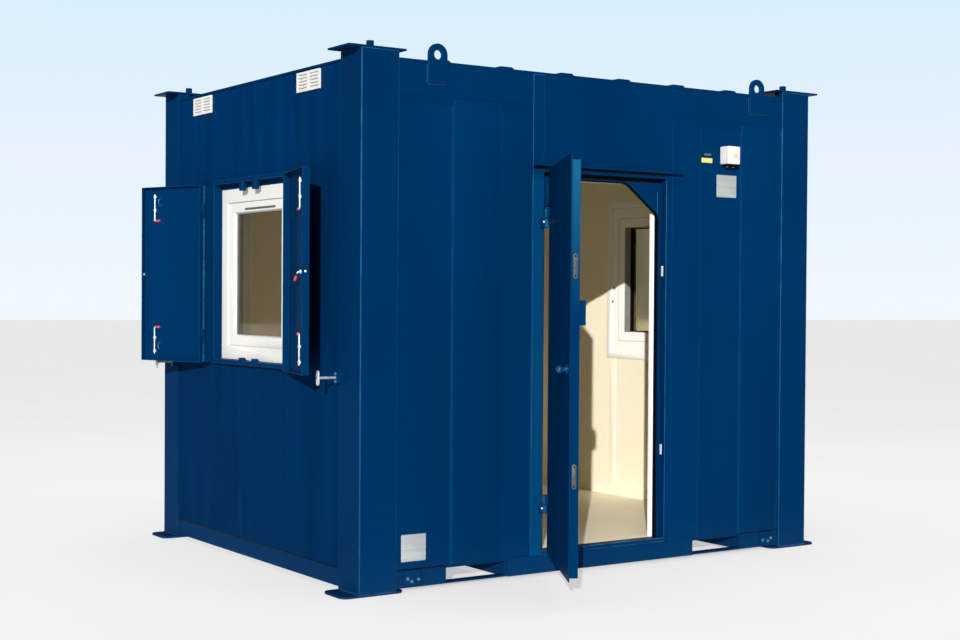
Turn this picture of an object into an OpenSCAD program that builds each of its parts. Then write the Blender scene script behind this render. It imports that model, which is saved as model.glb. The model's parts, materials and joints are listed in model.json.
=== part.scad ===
// Steel portable site cabin with an open door, shuttered end windows and fork pockets.
// Millimetres, +Z up. The origin is on the ground under the front left corner post.

/* [Cabin] */
// Length over the corner posts
cabin_l = 3000; // [2800:50:3600]
// Depth over the corner posts
cabin_d = 2400; // [2300:50:3000]
// Height of the tops of the corner posts
post_top = 2646; // [2640:1:2700]
// Thickness of the walls and of the posts' legs
wall_t = 66; // [60:1:80]
// Thickness of the insulation and lining boards inside the long walls
lining_t = 36; // [30:1:45]
// Thickness of the insulation and lining boards inside the end walls
end_lining_t = 84; // [60:1:90]

/* [Corner posts] */
// Width of each leg of a corner post
post_w = 212; // [190:1:230]
// Thickness of a foot plate
foot_t = 12; // [8:1:18]
// Reach of a foot plate past the end of the cabin
foot_out = 90; // [60:1:120]
// Reach of a foot plate past its post, inwards
foot_in = 48; // [20:1:80]
// Corner radius of a foot plate
foot_r = 44; // [10:1:60]
// Thickness of a head plate
head_t = 10; // [6:1:16]
// Reach of a head plate past the end of the cabin
head_out = 72; // [40:1:100]
// Reach of a head plate past its post, inwards
head_in = 40; // [20:1:60]
// Diameter of the stacking lug on a head plate
lug_d = 38; // [30:1:60]
// Height of the stacking lug
lug_h = 40; // [20:1:60]

/* [Base] */
// Height of the underside of the base rails
base_z = 20; // [14:1:30]
// Height of the tops of the base rails
floor_z = 115; // [110:1:125]
// Set-back of the base rails from the posts' faces
rail_set = 12; // [6:1:20]
// Thickness of the floor deck and of the door threshold
deck_t = 21; // [15:1:30]
// Clear width of a fork pocket
pocket_w = 360; // [300:5:380]
// Clear height of a fork pocket
pocket_h = 70; // [60:1:72]
// Wall of a fork pocket
pocket_t = 8; // [5:1:9]
// Width of the strap under each mouth of a fork pocket
pocket_strap = 60; // [40:5:100]
// Distance from the cabin's middle to each fork pocket's middle
pocket_x = 815; // [780:5:830]
// Width of a floor joist
joist_w = 50; // [40:1:60]
// Distance from the middle to the inner pair of joists
joist_in = 400; // [350:10:450]
// Distance from the middle to the outer pair of joists
joist_out = 1100; // [1070:10:1200]

/* [Walls] */
// Set-back of the wall sheets from the posts' faces
panel_set = 8; // [7:1:10]
// Height of the shallow raised bands pressed into the long walls
swage_h = 6; // [3:0.5:7]
// Width of the sloped side of a band
swage_run = 6; // [4:1:10]
// Width of a band
swage_w = 300; // [240:10:320]
// Start of the band left of the door, from the left post's edge
swage_left = 311; // [280:1:330]
// End of the band right of the door, from the lock jamb
swage_right = 210; // [180:1:230]
// Gap between the last band and the right post
swage_edge = 14; // [8:1:30]
// Height of the top rails
rail_h = 160; // [130:5:180]

/* [Roof] */
// Distance from the posts' tops down to the underside of the roof sheet
roof_drop = 46; // [35:1:60]
// Thickness of the roof sheet
roof_t = 12; // [8:1:16]
// Height of a roof rib
rib_h = 20; // [12:1:22]
// Width of a roof rib at its foot
rib_w = 126; // [100:2:150]
// Width of a roof rib at its top
rib_top_w = 74; // [50:2:90]
// Spacing of the roof ribs
rib_pitch = 387; // [380:1:400]
// Number of roof ribs
rib_count = 6; // [4:1:6]
// Middle of the first roof rib, from the left end
rib_first = 498; // [440:1:500]
// Set-back of the ribs' ends from the long sides
rib_inset = 60; // [40:5:100]
// Thickness of the ceiling lining
ceiling_t = 12; // [8:1:16]
// Space between the ceiling lining and the roof sheet
ceiling_gap = 30; // [20:1:40]

/* [Lifting eyes] */
// Distance from each end to a lifting eye's middle
eye_x = 424; // [380:1:460]
// Width of a lifting eye
eye_w = 110; // [90:2:130]
// Thickness of a lifting eye
eye_t = 14; // [10:1:20]
// How far a lifting eye reaches below the underside of the roof sheet
eye_drop = 105; // [80:5:130]
// Height of a lifting eye's hole above the underside of the roof sheet
eye_up = 42; // [40:1:60]
// Diameter of a lifting eye's hole
eye_d = 46; // [40:1:60]

/* [Doorway] */
// Width of the doorway, in the middle of the front
door_w = 834; // [780:2:840]
// Height of the doorway's top
door_top = 2100; // [2060:5:2105]
// Face width of the hinge jamb
jamb_w = 71; // [60:1:100]
// Width of the lock jamb
lock_jamb_w = 43; // [36:1:60]
// How far the hinge jamb and head stand out of the posts' faces
jamb_proud = 4; // [2:1:8]
// Depth of the rebate that the leaf closes into, from the posts' faces
rebate = 42; // [42:1:46]
// Width of the stop round the doorway
stop_w = 32; // [20:1:36]
// Height of the door head piece above the doorway
head_h = 35; // [30:1:45]
// Width of a corner gusset
gusset_w = 220; // [150:5:260]
// Height of a corner gusset
gusset_h = 165; // [120:5:200]
// Thickness of a corner gusset
gusset_t = 6; // [4:1:8]
// How far the drip rail reaches past the doorway on the lock side
drip_past = 95; // [60:1:140]
// Height of the drip rail
drip_h = 14; // [8:1:18]
// How far the drip rail stands out of the head
drip_out = 26; // [15:1:40]

/* [Door leaf] */
// Angle at which the door stands open
door_open = 119.5; // [90:0.5:150]
// Overlap of the leaf's outer plate on the frame
door_lip = 18; // [12:1:19]
// Running gap between the leaf and its frame
door_gap = 8; // [6:1:10]
// Thickness of the leaf's outer plate
door_plate_t = 5; // [3:1:5]
// Gap between the closed outer plate and the frame's face
door_seat = 5; // [5:0.5:8]
// Thickness of the leaf behind its outer plate
door_core_t = 43; // [35:1:43]
// Height of the leaf's lower edge above the base rail
door_low = 15; // [12:1:18]
// Diameter of a door hinge's barrel
barrel_d = 22; // [18:1:24]
// Diameter of a door hinge's pin
pin_d = 12; // [8:1:14]
// Length of a door hinge
hinge_l = 100; // [80:2:120]
// Height of the lower door hinge
hinge_low = 330; // [250:5:400]
// Distance from the doorway's top down to the foot of the upper door hinge
hinge_top = 290; // [250:5:400]
// Distance from the doorway's edge to the hinge axis, into the doorway
hinge_in = 3; // [0:1:5]
// Distance of the hinge axis in front of the leaf's outer plate
axis_out = 10; // [6:1:12]
// Reach of a hinge's straps on the jamb and on the leaf
strap_l = 24; // [15:1:40]
// Gap between a hinge barrel and the edge of the leaf
leaf_gap = 3; // [2:0.5:5]
// Running clearance of the hinge pins, on the radius
pin_gap = 0.05; // [0.02:0.01:0.1]
// Gap between the two halves of a hinge, along its pin
half_gap = 1; // [0.5:0.5:2]
// Width of the lock box on the leaf's inner face
lock_w = 120; // [90:2:150]
// Height of the lock box
lock_h = 118; // [90:2:140]
// Depth of the lock box
lock_t = 34; // [25:1:45]
// Height of the lock box's lower edge
lock_z = 1321; // [1250:5:1400]
// Distance between the lock box and the stop, with the door closed
lock_clear = 10; // [8:1:20]
// Height of the pull knob
knob_z = 1115; // [1000:5:1200]
// Diameter of the pull knob
knob_d = 38; // [30:1:50]
// Diameter of the knob's rose
rose_d = 48; // [40:1:60]
// Thickness of the knob's rose
rose_t = 5; // [3:0.5:8]
// Diameter of the knob's neck
neck_d = 20; // [14:1:26]
// Distance from the leaf to the middle of the knob
neck_l = 36; // [30:1:45]
// Distance from the leaf's free edge to the knob
knob_in = 70; // [50:1:100]
// Length of a lock faceplate
keep_l = 118; // [90:2:140]
// Width of a lock faceplate
keep_w = 22; // [16:1:26]
// Thickness of a lock faceplate
keep_t = 2; // [1:0.5:3]
// Height of the lower lock faceplate's middle
keep_low = 618; // [500:2:700]
// Height of the upper lock faceplate's middle
keep_high = 1598; // [1520:2:1640]

/* [Windows] */
// Clear width of a window opening
win_w = 856; // [780:2:870]
// Clear height of a window opening
win_h = 949; // [900:2:960]
// Height of a window opening's lower edge
win_z = 1093; // [1080:1:1100]
// Face width of the surround's sides
ring_w = 37; // [25:1:40]
// Face height of the surround's lower and upper rails
ring_rail = 24; // [16:1:30]
// How far the surround stands out of the posts' faces
ring_out = 27; // [22:1:35]
// Height of the set-back lintel above the window frame
lintel_h = 28; // [20:1:32]
// Set-back of the window frame and the lintel from the posts' faces
frame_set = 23; // [18:1:28]
// Face width of the fixed window frame
frame_w = 75; // [60:1:85]
// Face width of the sash
sash_w = 56; // [45:1:70]
// Set-back of the sash from the fixed frame's face
sash_set = 10; // [5:1:15]
// Set-back of the glass from the fixed frame's face
glass_set = 30; // [24:1:32]
// Thickness of the sealed glass
glass_t = 18; // [12:1:20]
// How far the glass sits in the sash
glass_lap = 12; // [8:1:18]
// Length of the trickle slot in the sash's head
slot_l = 388; // [300:2:400]
// Height of the trickle slot
slot_h = 12; // [8:1:16]
// Depth of the trickle slot
slot_t = 8; // [4:1:10]
// Height of the trickle slot above the sash head's lower edge
slot_up = 9; // [6:1:20]
// Distance from the window's middle towards the front to the slot's middle
slot_off = 27; // [0:1:40]
// Width of a bolt keeper tab
tab_w = 44; // [30:1:60]
// Depth of a bolt keeper tab
tab_t = 24; // [15:1:30]
// Height of the lower keeper tabs above the sill
tab_low = 16; // [10:1:24]
// How far the upper keeper tabs hang below the lintel
tab_high = 20; // [10:1:24]
// Distance from the window's middle to each keeper tab's middle
tab_y = 80; // [50:1:100]

/* [Shutters] */
// Distance from the side of the window opening to a shutter's hinge line
hinge_line = 82; // [74:1:90]
// How far the shutters reach below the window opening
shutter_under = 26; // [15:1:30]
// How far the shutters reach above the lintel
shutter_over = 6; // [3:1:10]
// Depth of a shutter leaf over its folded edges
shutter_t = 36; // [24:1:40]
// Thickness of a shutter's plate and folded edges
shutter_skin = 4; // [2:0.5:5]
// Gap between a closed shutter and the surround
shutter_seat = 5; // [5:0.5:8]
// Distance from the hinge line to a leaf's hinged edge
shutter_start = 15; // [13:1:18]
// Gap between the two closed leaves
shutter_meet = 6; // [5:0.5:10]
// Angle at which the near leaf stands open
near_open = 164; // [120:0.5:167]
// Angle at which the far leaf stands open
far_open = 160.5; // [120:0.5:167]
// Diameter of a shutter hinge's barrel
knuckle_d = 18; // [14:1:20]
// Diameter of a shutter hinge's pin
shutter_pin_d = 8; // [6:1:10]
// Length of a shutter hinge
knuckle_l = 80; // [60:2:100]
// Distance from a leaf's lower or upper edge to its hinge
knuckle_in = 110; // [80:5:150]
// Width of the bracket that carries a shutter hinge
bracket_w = 12; // [8:1:14]
// Distance from the near leaf's free edge to its slide bolts
near_bolt_in = 178; // [80:1:200]
// Distance from the far leaf's free edge to its slide bolts
far_bolt_in = 88; // [80:1:200]
// Distance from a leaf's lower or upper edge to the end of a slide bolt
bolt_end = 40; // [30:1:60]
// Length of a slide bolt
bolt_l = 160; // [120:5:200]
// Diameter of a slide bolt
bolt_d = 10; // [6:1:12]
// Length of a slide bolt's base plate
bolt_plate_l = 110; // [80:5:130]
// Width of a slide bolt's base plate
bolt_plate_w = 30; // [22:1:36]
// Thickness of a slide bolt's base plate
bolt_plate_t = 3; // [2:0.5:4]
// Length of a slide bolt's handle
handle_l = 40; // [30:1:50]
// Diameter of a handle's grip
grip_d = 14; // [10:1:16]

/* [Fittings] */
// Distance from a shutter's lower edge down to its catch's stem
catch_drop = 14; // [12:1:20]
// Reach of a shutter catch out of the post's face
catch_out = 125; // [100:1:130]
// Distance of a shutter catch from the edge of its post
catch_in = 22; // [18:1:30]
// Height of a shutter catch's turn plate
catch_h = 74; // [60:1:80]
// Width of a shutter catch's turn plate
catch_w = 26; // [18:1:30]
// Thickness of a shutter catch's turn plate
catch_t = 6; // [4:1:8]
// Diameter of a shutter catch's stem
stem_d = 12; // [8:1:12]
// Width of a shutter catch's bracket
catch_base_w = 36; // [26:1:40]
// Height of a shutter catch's bracket
catch_base_h = 60; // [40:1:70]
// Depth of a shutter catch's bracket
catch_base_t = 30; // [15:1:40]
// Width of an air vent
vent_w = 245; // [200:5:260]
// Height of an air vent
vent_h = 100; // [80:2:104]
// Thickness of an air vent
vent_t = 12; // [8:1:16]
// Distance from the underside of the roof sheet down to an air vent
vent_drop = 9; // [5:1:20]
// Distance from each long side to an air vent's middle
vent_y = 547; // [500:1:600]
// Number of slots in each column of an air vent
vent_slots = 5; // [3:1:6]
// Length of a slot in an air vent
vent_slot_l = 98; // [80:1:104]
// Height of a slot in an air vent
vent_slot_h = 8; // [5:0.5:10]
// Depth of a slot in an air vent
vent_slot_t = 9; // [5:1:10]
// Width of the rib between an air vent's two columns of slots
vent_rib = 24; // [10:1:30]
// Width of the power inlet box
inlet_w = 92; // [80:1:110]
// Height of the power inlet box
inlet_h = 100; // [80:1:120]
// Depth of the power inlet box
inlet_t = 68; // [50:1:80]
// Distance from the top rail down to the power inlet box
inlet_drop = 138; // [120:1:160]
// Distance from the lock jamb to the power inlet box
inlet_x = 353; // [330:1:365]
// Thickness of the power inlet's backing plate
inlet_plate_t = 4; // [2:0.5:6]
// Margin of the backing plate round the power inlet box
inlet_plate_in = 16; // [8:1:24]
// Diameter of a cable gland under the power inlet box
gland_d = 22; // [16:1:28]
// Length of a cable gland
gland_l = 16; // [10:1:24]
// Distance from the power inlet box's middle to each cable gland
gland_x = 23; // [18:1:30]

/* [Hidden] */
$fn = 48;
// Overlap of solids that are one piece, and overshoot of cuts
eps = 0.01;
cut = 1;
blue = "#13406f";
white = "#f4f4f0";
cream = "#efe6cf";
zinc = "#b9c0c2";

deck_z = floor_z + deck_t;
roof_z = post_top - roof_drop;
rail_z = roof_z - rail_h;
eye_low = roof_z - eye_drop;
eye_z = roof_z + eye_up;
ceiling_z = roof_z - ceiling_gap - ceiling_t;
room_in = wall_t + lining_t;
end_in = wall_t + end_lining_t;
pocket_out_w = pocket_w + 2 * pocket_t;
pocket_out_h = pocket_h + 2 * pocket_t;
door_x = (cabin_l - door_w) / 2;
jamb_x = door_x - jamb_w;
lock_x = door_x + door_w;
lock_end = lock_x + lock_jamb_w;
right_post_x = cabin_l - post_w;
head_z = door_top + head_h;
swage_end = lock_end + swage_right;

// Door hinge axis and leaf sizes, with the leaf drawn closed and the axis at x = 0, y = 0
axis_x = door_x + hinge_in;
axis_y = -jamb_proud - door_seat - door_plate_t - axis_out;
leaf_start = barrel_d / 2 + leaf_gap;
plate_back = -jamb_proud - door_seat - axis_y;
plate_front = plate_back - door_plate_t;
core_back = plate_back + door_core_t;
leaf_z = floor_z + door_low;
plate_end = lock_x + door_lip - axis_x;
plate_top = door_top + door_lip;
core_start = door_x + door_gap - axis_x;
core_end = lock_x - door_gap - axis_x;
core_z = deck_z + door_gap;
core_top = door_top - door_gap;
lock_in = stop_w - door_gap + lock_clear;
hinge_high = door_top - hinge_top;

// Window and shutter values, measured from the end's face and the cabin's long middle line
win_y = cabin_d / 2;
win_top = win_z + win_h;
lintel_top = win_top + lintel_h;
glass_in = frame_w + sash_w - glass_lap;
shutter_span = win_w + 2 * hinge_line;
shutter_z = win_z - shutter_under;
shutter_h = win_h + lintel_h + shutter_under + shutter_over;
shutter_out = ring_out + shutter_seat + shutter_t / 2;
shutter_w = shutter_span / 2 - shutter_start - shutter_meet / 2;
shutter_end = shutter_start + shutter_w;
half_l = (knuckle_l - half_gap) / 2;
door_half_l = (hinge_l - half_gap) / 2;
knuckle_zs = [shutter_z + knuckle_in, shutter_z + shutter_h - knuckle_in - knuckle_l];
catch_z = shutter_z - catch_drop;

// Heights of the vents and of the power inlet box
vent_z = roof_z - vent_drop - vent_h;
inlet_z = rail_z - inlet_drop - inlet_h;

// Moves what is drawn from the cabin's front left corner to the origin under the post
module from_corner() {
  translate([-post_w / 2, -post_w / 2, 0]) children();
}

module box(low, high) {
  translate(low) cube(high - low);
}

// Repeats what is drawn at the left end on the right end
module right_end() {
  translate([cabin_l, 0, 0]) mirror([1, 0, 0]) children();
}

// Repeats what is drawn on the front on the back
module back_side() {
  translate([0, cabin_d, 0]) mirror([0, 1, 0]) children();
}

module both_ends() {
  children();
  right_end() children();
}

module all_corners() {
  both_ends() children();
  back_side() both_ends() children();
}

module post_section() {
  polygon([
    [0, 0], [post_w, 0], [post_w, wall_t],
    [wall_t, wall_t], [wall_t, post_w], [0, post_w]
  ]);
}

module corner_post() {
  color(blue) translate([0, 0, foot_t]) linear_extrude(post_top - foot_t) post_section();
}

module front_left_post() {
  corner_post();
}

module front_right_post() {
  right_end() corner_post();
}

module back_left_post() {
  back_side() corner_post();
}

module back_right_post() {
  back_side() right_end() corner_post();
}

// A rectangle with its four corners rounded
module rounded_plate(low, high, r) {
  translate([low.x + r, low.y]) square([high.x - low.x - 2 * r, high.y - low.y]);
  translate([low.x, low.y + r]) square([high.x - low.x, high.y - low.y - 2 * r]);
  for (x = [low.x + r, high.x - r], y = [low.y + r, high.y - r]) translate([x, y]) circle(r);
}

module foot_plates() {
  color(blue) all_corners() linear_extrude(foot_t)
    rounded_plate([-foot_out, 0], [post_w + foot_in, post_w], foot_r);
}

module head_plates() {
  color(blue) all_corners() {
    box([-head_out, 0, post_top], [post_w + head_in, post_w, post_top + head_t]);
    translate([post_w / 2, post_w / 2, post_top + head_t]) cylinder(d = lug_d, h = lug_h);
  }
}

// The outside of both fork pockets, from one long side to the other
module pocket_bodies(low_y, high_y, w, h, z) {
  for (side = [-1, 1]) translate([cabin_l / 2 + side * pocket_x, 0, 0])
    box([-w / 2, low_y, z], [w / 2, high_y, z + h]);
}

module long_base_rail() {
  color(blue) difference() {
    union() {
      box([post_w, rail_set, base_z], [right_post_x, wall_t, floor_z]);
      box([cabin_l / 2 - pocket_x + pocket_out_w / 2, 0, base_z],
        [cabin_l / 2 + pocket_x - pocket_out_w / 2, wall_t, floor_z]);
    }
    pocket_bodies(-cut, wall_t + cut, pocket_out_w, pocket_out_h, base_z);
  }
}

module front_base_rail() {
  long_base_rail();
}

module back_base_rail() {
  back_side() long_base_rail();
}

module end_base_rails() {
  color(blue) both_ends() box([rail_set, post_w, base_z], [wall_t, cabin_d - post_w, floor_z]);
}

// Channels that are open below, with a strap across each mouth
module fork_pockets() {
  strap_end = rail_set + pocket_strap;
  color(blue) difference() {
    pocket_bodies(rail_set, cabin_d - rail_set, pocket_out_w, pocket_out_h, base_z);
    pocket_bodies(0, cabin_d, pocket_w, pocket_h, base_z + pocket_t);
    pocket_bodies(strap_end, cabin_d - strap_end, pocket_w, pocket_t + 2 * cut, base_z - cut);
  }
}

module floor_joists() {
  color(blue) for (x = [-joist_out, -joist_in, joist_in, joist_out])
    translate([cabin_l / 2 + x - joist_w / 2, 0, 0])
      box([0, wall_t, base_z], [joist_w, cabin_d - wall_t, floor_z]);
}

module floor_deck() {
  color("#b7a98d") box([wall_t, wall_t, floor_z], [cabin_l - wall_t, cabin_d - wall_t, deck_z]);
}

module front_top_rail() {
  color(blue) {
    box([post_w, 0, rail_z], [jamb_x, wall_t, roof_z]);
    box([lock_end, 0, rail_z], [right_post_x, wall_t, roof_z]);
  }
}

module back_top_rail() {
  color(blue) back_side() box([post_w, 0, rail_z], [right_post_x, wall_t, roof_z]);
}

module roof_rib() {
  rotate([90, 0, 0]) linear_extrude(cabin_d - 2 * rib_inset) polygon([
    [-rib_w / 2, 0], [rib_w / 2, 0], [rib_top_w / 2, rib_h + eps], [-rib_top_w / 2, rib_h + eps]
  ]);
}

module roof_sheet() {
  color(blue) {
    translate([0, 0, roof_z]) linear_extrude(roof_t) difference() {
      square([cabin_l, cabin_d]);
      all_corners() post_section();
    }
    for (i = [0 : rib_count - 1])
      translate([rib_first + i * rib_pitch, cabin_d - rib_inset, roof_z + roof_t - eps]) roof_rib();
  }
}

module ceiling_lining() {
  color(cream) box([wall_t, wall_t, ceiling_z],
    [cabin_l - wall_t, cabin_d - wall_t, ceiling_z + ceiling_t]);
}

module lifting_eye() {
  rotate([90, 0, 0]) difference() {
    union() {
      box([-eye_w / 2, eye_low, 0], [eye_w / 2, eye_z, eye_t]);
      translate([0, eye_z, 0]) cylinder(d = eye_w, h = eye_t);
    }
    translate([0, eye_z, -cut]) cylinder(d = eye_d, h = eye_t + 2 * cut);
  }
}

module lifting_eyes() {
  color(blue) all_corners() translate([eye_x, 0, 0]) lifting_eye();
}

// A wall sheet seen from above, with raised bands on its outer face
module swaged_section(low_x, high_x, bands) {
  front = panel_set - swage_h;
  translate([low_x, panel_set]) square([high_x - low_x, wall_t - panel_set]);
  for (band = bands) intersection() {
    translate([low_x, front]) square([high_x - low_x, wall_t - front]);
    polygon([
      [band[0], wall_t], [band[0], panel_set], [band[0] + swage_run, front],
      [band[1] - swage_run, front], [band[1], panel_set], [band[1], wall_t]
    ]);
  }
}

module swaged_wall(low_x, high_x, bands) {
  color(blue) translate([0, 0, floor_z]) linear_extrude(rail_z - floor_z)
    swaged_section(low_x, high_x, bands);
}

module front_wall_left() {
  swaged_wall(post_w, jamb_x, [[post_w + swage_left, post_w + swage_left + swage_w]]);
}

module front_wall_right() {
  swaged_wall(lock_end, right_post_x, [
    [lock_end - swage_run, swage_end],
    [swage_end + swage_w, right_post_x - swage_edge]
  ]);
}

module back_wall() {
  back_side() swaged_wall(post_w, right_post_x, [
    for (x = [post_w + swage_left : 2 * swage_w : right_post_x - swage_w]) [x, x + swage_w]
  ]);
}

module front_wall_over_door() {
  color(blue) box([door_x, -jamb_proud, head_z], [lock_x, wall_t, roof_z]);
}

// The window's clear opening, run through from low_x to high_x
module window_hole(low_x, high_x) {
  box([low_x, win_y - win_w / 2, win_z], [high_x, win_y + win_w / 2, win_top]);
}

// The space above the window frame, in front of the lintel
module lintel_recess(low_x, high_x) {
  box([low_x, win_y - win_w / 2, win_top - eps], [high_x, win_y + win_w / 2, lintel_top]);
}

module end_wall() {
  color(blue) difference() {
    box([panel_set, post_w, floor_z], [wall_t, cabin_d - post_w, roof_z]);
    window_hole(0, wall_t + cut);
    lintel_recess(0, frame_set);
  }
}

module left_end_wall() {
  end_wall();
}

module right_end_wall() {
  right_end() end_wall();
}

module front_lining_sides() {
  color(cream) {
    box([end_in, wall_t, deck_z], [door_x + stop_w, room_in, ceiling_z]);
    box([lock_x - stop_w, wall_t, deck_z], [cabin_l - end_in, room_in, ceiling_z]);
  }
}

module front_lining_over_door() {
  color(cream) box([door_x + stop_w, wall_t, door_top - stop_w],
    [lock_x - stop_w, room_in, ceiling_z]);
}

module back_lining() {
  color(cream) back_side() box([end_in, wall_t, deck_z], [cabin_l - end_in, room_in, ceiling_z]);
}

module end_linings() {
  color(cream) both_ends() difference() {
    box([wall_t, wall_t, deck_z], [end_in, cabin_d - wall_t, ceiling_z]);
    window_hole(0, end_in + cut);
  }
}

module door_hinge_jamb() {
  color(blue) {
    box([jamb_x, -jamb_proud, floor_z], [door_x, wall_t, roof_z]);
    box([door_x - eps, rebate, deck_z], [door_x + stop_w, wall_t, door_top - stop_w]);
  }
}

module door_lock_jamb() {
  color(blue) {
    box([lock_x, panel_set - swage_h, floor_z], [lock_end, wall_t, roof_z]);
    box([lock_x - stop_w, rebate, deck_z], [lock_x + eps, wall_t, door_top - stop_w]);
  }
}

// A triangular corner plate, flush with the stop, for the upper right corner of the doorway
module gusset() {
  translate([0, rebate + gusset_t, 0]) rotate([90, 0, 0]) linear_extrude(gusset_t) polygon([
    [-gusset_w, 0], [0, 0], [0, -gusset_h]
  ]);
}

module door_head() {
  stop_z = door_top - stop_w;
  color(blue) {
    box([door_x, -jamb_proud, door_top], [lock_x, wall_t, head_z]);
    box([door_x, rebate, stop_z], [lock_x, wall_t, door_top + eps]);
    translate([lock_x - stop_w, 0, stop_z + eps]) gusset();
    translate([door_x + stop_w, 0, stop_z + eps]) mirror([1, 0, 0]) gusset();
  }
}

module door_threshold() {
  color(blue) box([door_x, 0, floor_z], [lock_x, wall_t, deck_z]);
}

module drip_rail() {
  low_z = head_z - drip_h / 2;
  out_y = -jamb_proud - drip_out;
  color(blue) {
    box([jamb_x, out_y, low_z], [lock_x, -jamb_proud, low_z + drip_h]);
    box([lock_x, out_y, low_z], [lock_x + drip_past, 0, low_z + drip_h]);
  }
}

// Puts what is drawn round the door's hinge axis on the frame
module at_door_axis() {
  translate([axis_x, axis_y, 0]) children();
}

module on_open_door() {
  at_door_axis() rotate([0, 0, -door_open]) children();
}

// The lower half of each hinge, with its pin, welded to the hinge jamb
module door_hinges() {
  color(zinc) at_door_axis() for (z = [hinge_low, hinge_high]) {
    translate([0, 0, z]) {
      cylinder(d = barrel_d, h = door_half_l);
      cylinder(d = pin_d, h = hinge_l);
      box([-hinge_in - strap_l, 0, 0], [0, -jamb_proud - axis_y, door_half_l]);
    }
  }
}

module door_leaf() {
  color(blue) on_open_door() difference() {
    union() {
      box([leaf_start, plate_front, leaf_z], [plate_end, plate_back, plate_top]);
      box([core_start, plate_back - eps, core_z], [core_end, core_back, core_top]);
      for (z = [hinge_low, hinge_high]) translate([0, 0, z + hinge_l - door_half_l]) {
        cylinder(d = barrel_d, h = door_half_l);
        box([0, 0, 0], [leaf_start + strap_l, plate_front + eps, door_half_l]);
      }
    }
    for (z = [hinge_low, hinge_high]) translate([0, 0, z])
      cylinder(r = pin_d / 2 + pin_gap, h = hinge_l + cut);
  }
}

module door_lock_box() {
  color(blue) on_open_door()
    translate([core_end - lock_in - lock_w, core_back, lock_z]) cube([lock_w, lock_t, lock_h]);
}

module door_lock_plates() {
  mid_y = (plate_back + core_back) / 2;
  color(zinc) on_open_door() for (z = [keep_low, keep_high])
    box([core_end, mid_y - keep_w / 2, z - keep_l / 2],
      [core_end + keep_t, mid_y + keep_w / 2, z + keep_l / 2]);
}

// A pull knob: a rose, a neck and a rounded head, turned about the leaf's normal
module door_knob() {
  color(zinc) on_open_door() translate([core_end - knob_in, plate_front, knob_z]) rotate([90, 0, 0]) {
    cylinder(d = rose_d, h = rose_t);
    cylinder(d = neck_d, h = neck_l);
    translate([0, 0, neck_l]) sphere(d = knob_d);
  }
}

module surround() {
  difference() {
    box([-ring_out, win_y - win_w / 2 - ring_w, win_z - ring_rail],
      [panel_set, win_y + win_w / 2 + ring_w, lintel_top + ring_rail]);
    window_hole(-ring_out - cut, panel_set + cut);
    lintel_recess(-ring_out - cut, panel_set + cut);
  }
  for (side = [-1, 1]) translate([-ring_out, win_y + side * tab_y - tab_w / 2, 0]) {
    box([0, 0, win_z - eps], [tab_t, tab_w, win_z + tab_low]);
    box([0, 0, win_top - tab_high], [tab_t, tab_w, lintel_top + eps]);
  }
}

module window_surrounds() {
  color(blue) both_ends() surround();
}

// A rectangular ring round the window, drawn in by inset from the opening's edge
module window_ring(inset, w, low_x, high_x) {
  difference() {
    box([low_x, win_y - win_w / 2 + inset, win_z + inset],
      [high_x, win_y + win_w / 2 - inset, win_top - inset]);
    box([low_x - cut, win_y - win_w / 2 + inset + w, win_z + inset + w],
      [high_x + cut, win_y + win_w / 2 - inset - w, win_top - inset - w]);
  }
}

module window_frames() {
  color(white) both_ends() {
    window_ring(0, frame_w, frame_set, end_in);
    difference() {
      window_ring(frame_w - eps, sash_w + eps, frame_set + sash_set, end_in);
      glass_pane();
      trickle_slot();
    }
  }
}

module trickle_slot() {
  sash_x = frame_set + sash_set;
  translate([sash_x - cut, win_y - slot_off - slot_l / 2, win_top - frame_w - sash_w + slot_up])
    cube([slot_t + cut, slot_l, slot_h]);
}

module glass_pane() {
  glass_x = frame_set + glass_set;
  box([glass_x, win_y - win_w / 2 + glass_in, win_z + glass_in],
    [glass_x + glass_t, win_y + win_w / 2 - glass_in, win_top - glass_in]);
}

module window_glass() {
  color("#9fb4b8", 0.4) both_ends() glass_pane();
}

// Puts what is drawn round a closed near leaf's hinge axis on the left end
module at_near_axis() {
  translate([-shutter_out, win_y - shutter_span / 2, 0]) children();
}

module on_near_shutter() {
  at_near_axis() rotate([0, 0, near_open]) children();
}

module on_far_shutter() {
  translate([-shutter_out, win_y + shutter_span / 2, 0]) rotate([0, 0, -far_open])
    mirror([0, 1, 0]) children();
}

// A shutter leaf, closed, with its hinge axis at x = 0, y = 0 and its outer face towards -X
module shutter_leaf() {
  front = -shutter_t / 2;
  color(blue) difference() {
    union() {
      difference() {
        box([front, shutter_start, shutter_z], [-front, shutter_end, shutter_z + shutter_h]);
        box([front + shutter_skin, shutter_start + shutter_skin, shutter_z + shutter_skin],
          [-front + cut, shutter_end - shutter_skin, shutter_z + shutter_h - shutter_skin]);
      }
      for (z = knuckle_zs) translate([0, 0, z + knuckle_l - half_l]) {
        cylinder(d = knuckle_d, h = half_l);
        box([-bracket_w / 2, 0, 0], [bracket_w / 2, shutter_start + eps, half_l]);
      }
    }
    for (z = knuckle_zs) translate([0, 0, z])
      cylinder(r = shutter_pin_d / 2 + pin_gap, h = knuckle_l + cut);
  }
}

// The lower half of each shutter hinge, with its pin, on a bracket from the wall
module shutter_hinge_halves() {
  for (z = knuckle_zs) translate([0, 0, z]) {
    cylinder(d = knuckle_d, h = half_l);
    cylinder(d = shutter_pin_d, h = knuckle_l);
    box([0, -bracket_w / 2, 0], [shutter_out + panel_set, bracket_w / 2, half_l]);
  }
}

module shutter_hinges() {
  color(blue) both_ends() {
    at_near_axis() shutter_hinge_halves();
    back_side() at_near_axis() shutter_hinge_halves();
  }
}

module near_shutter() {
  on_near_shutter() shutter_leaf();
}

module far_shutter() {
  on_far_shutter() shutter_leaf();
}

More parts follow.
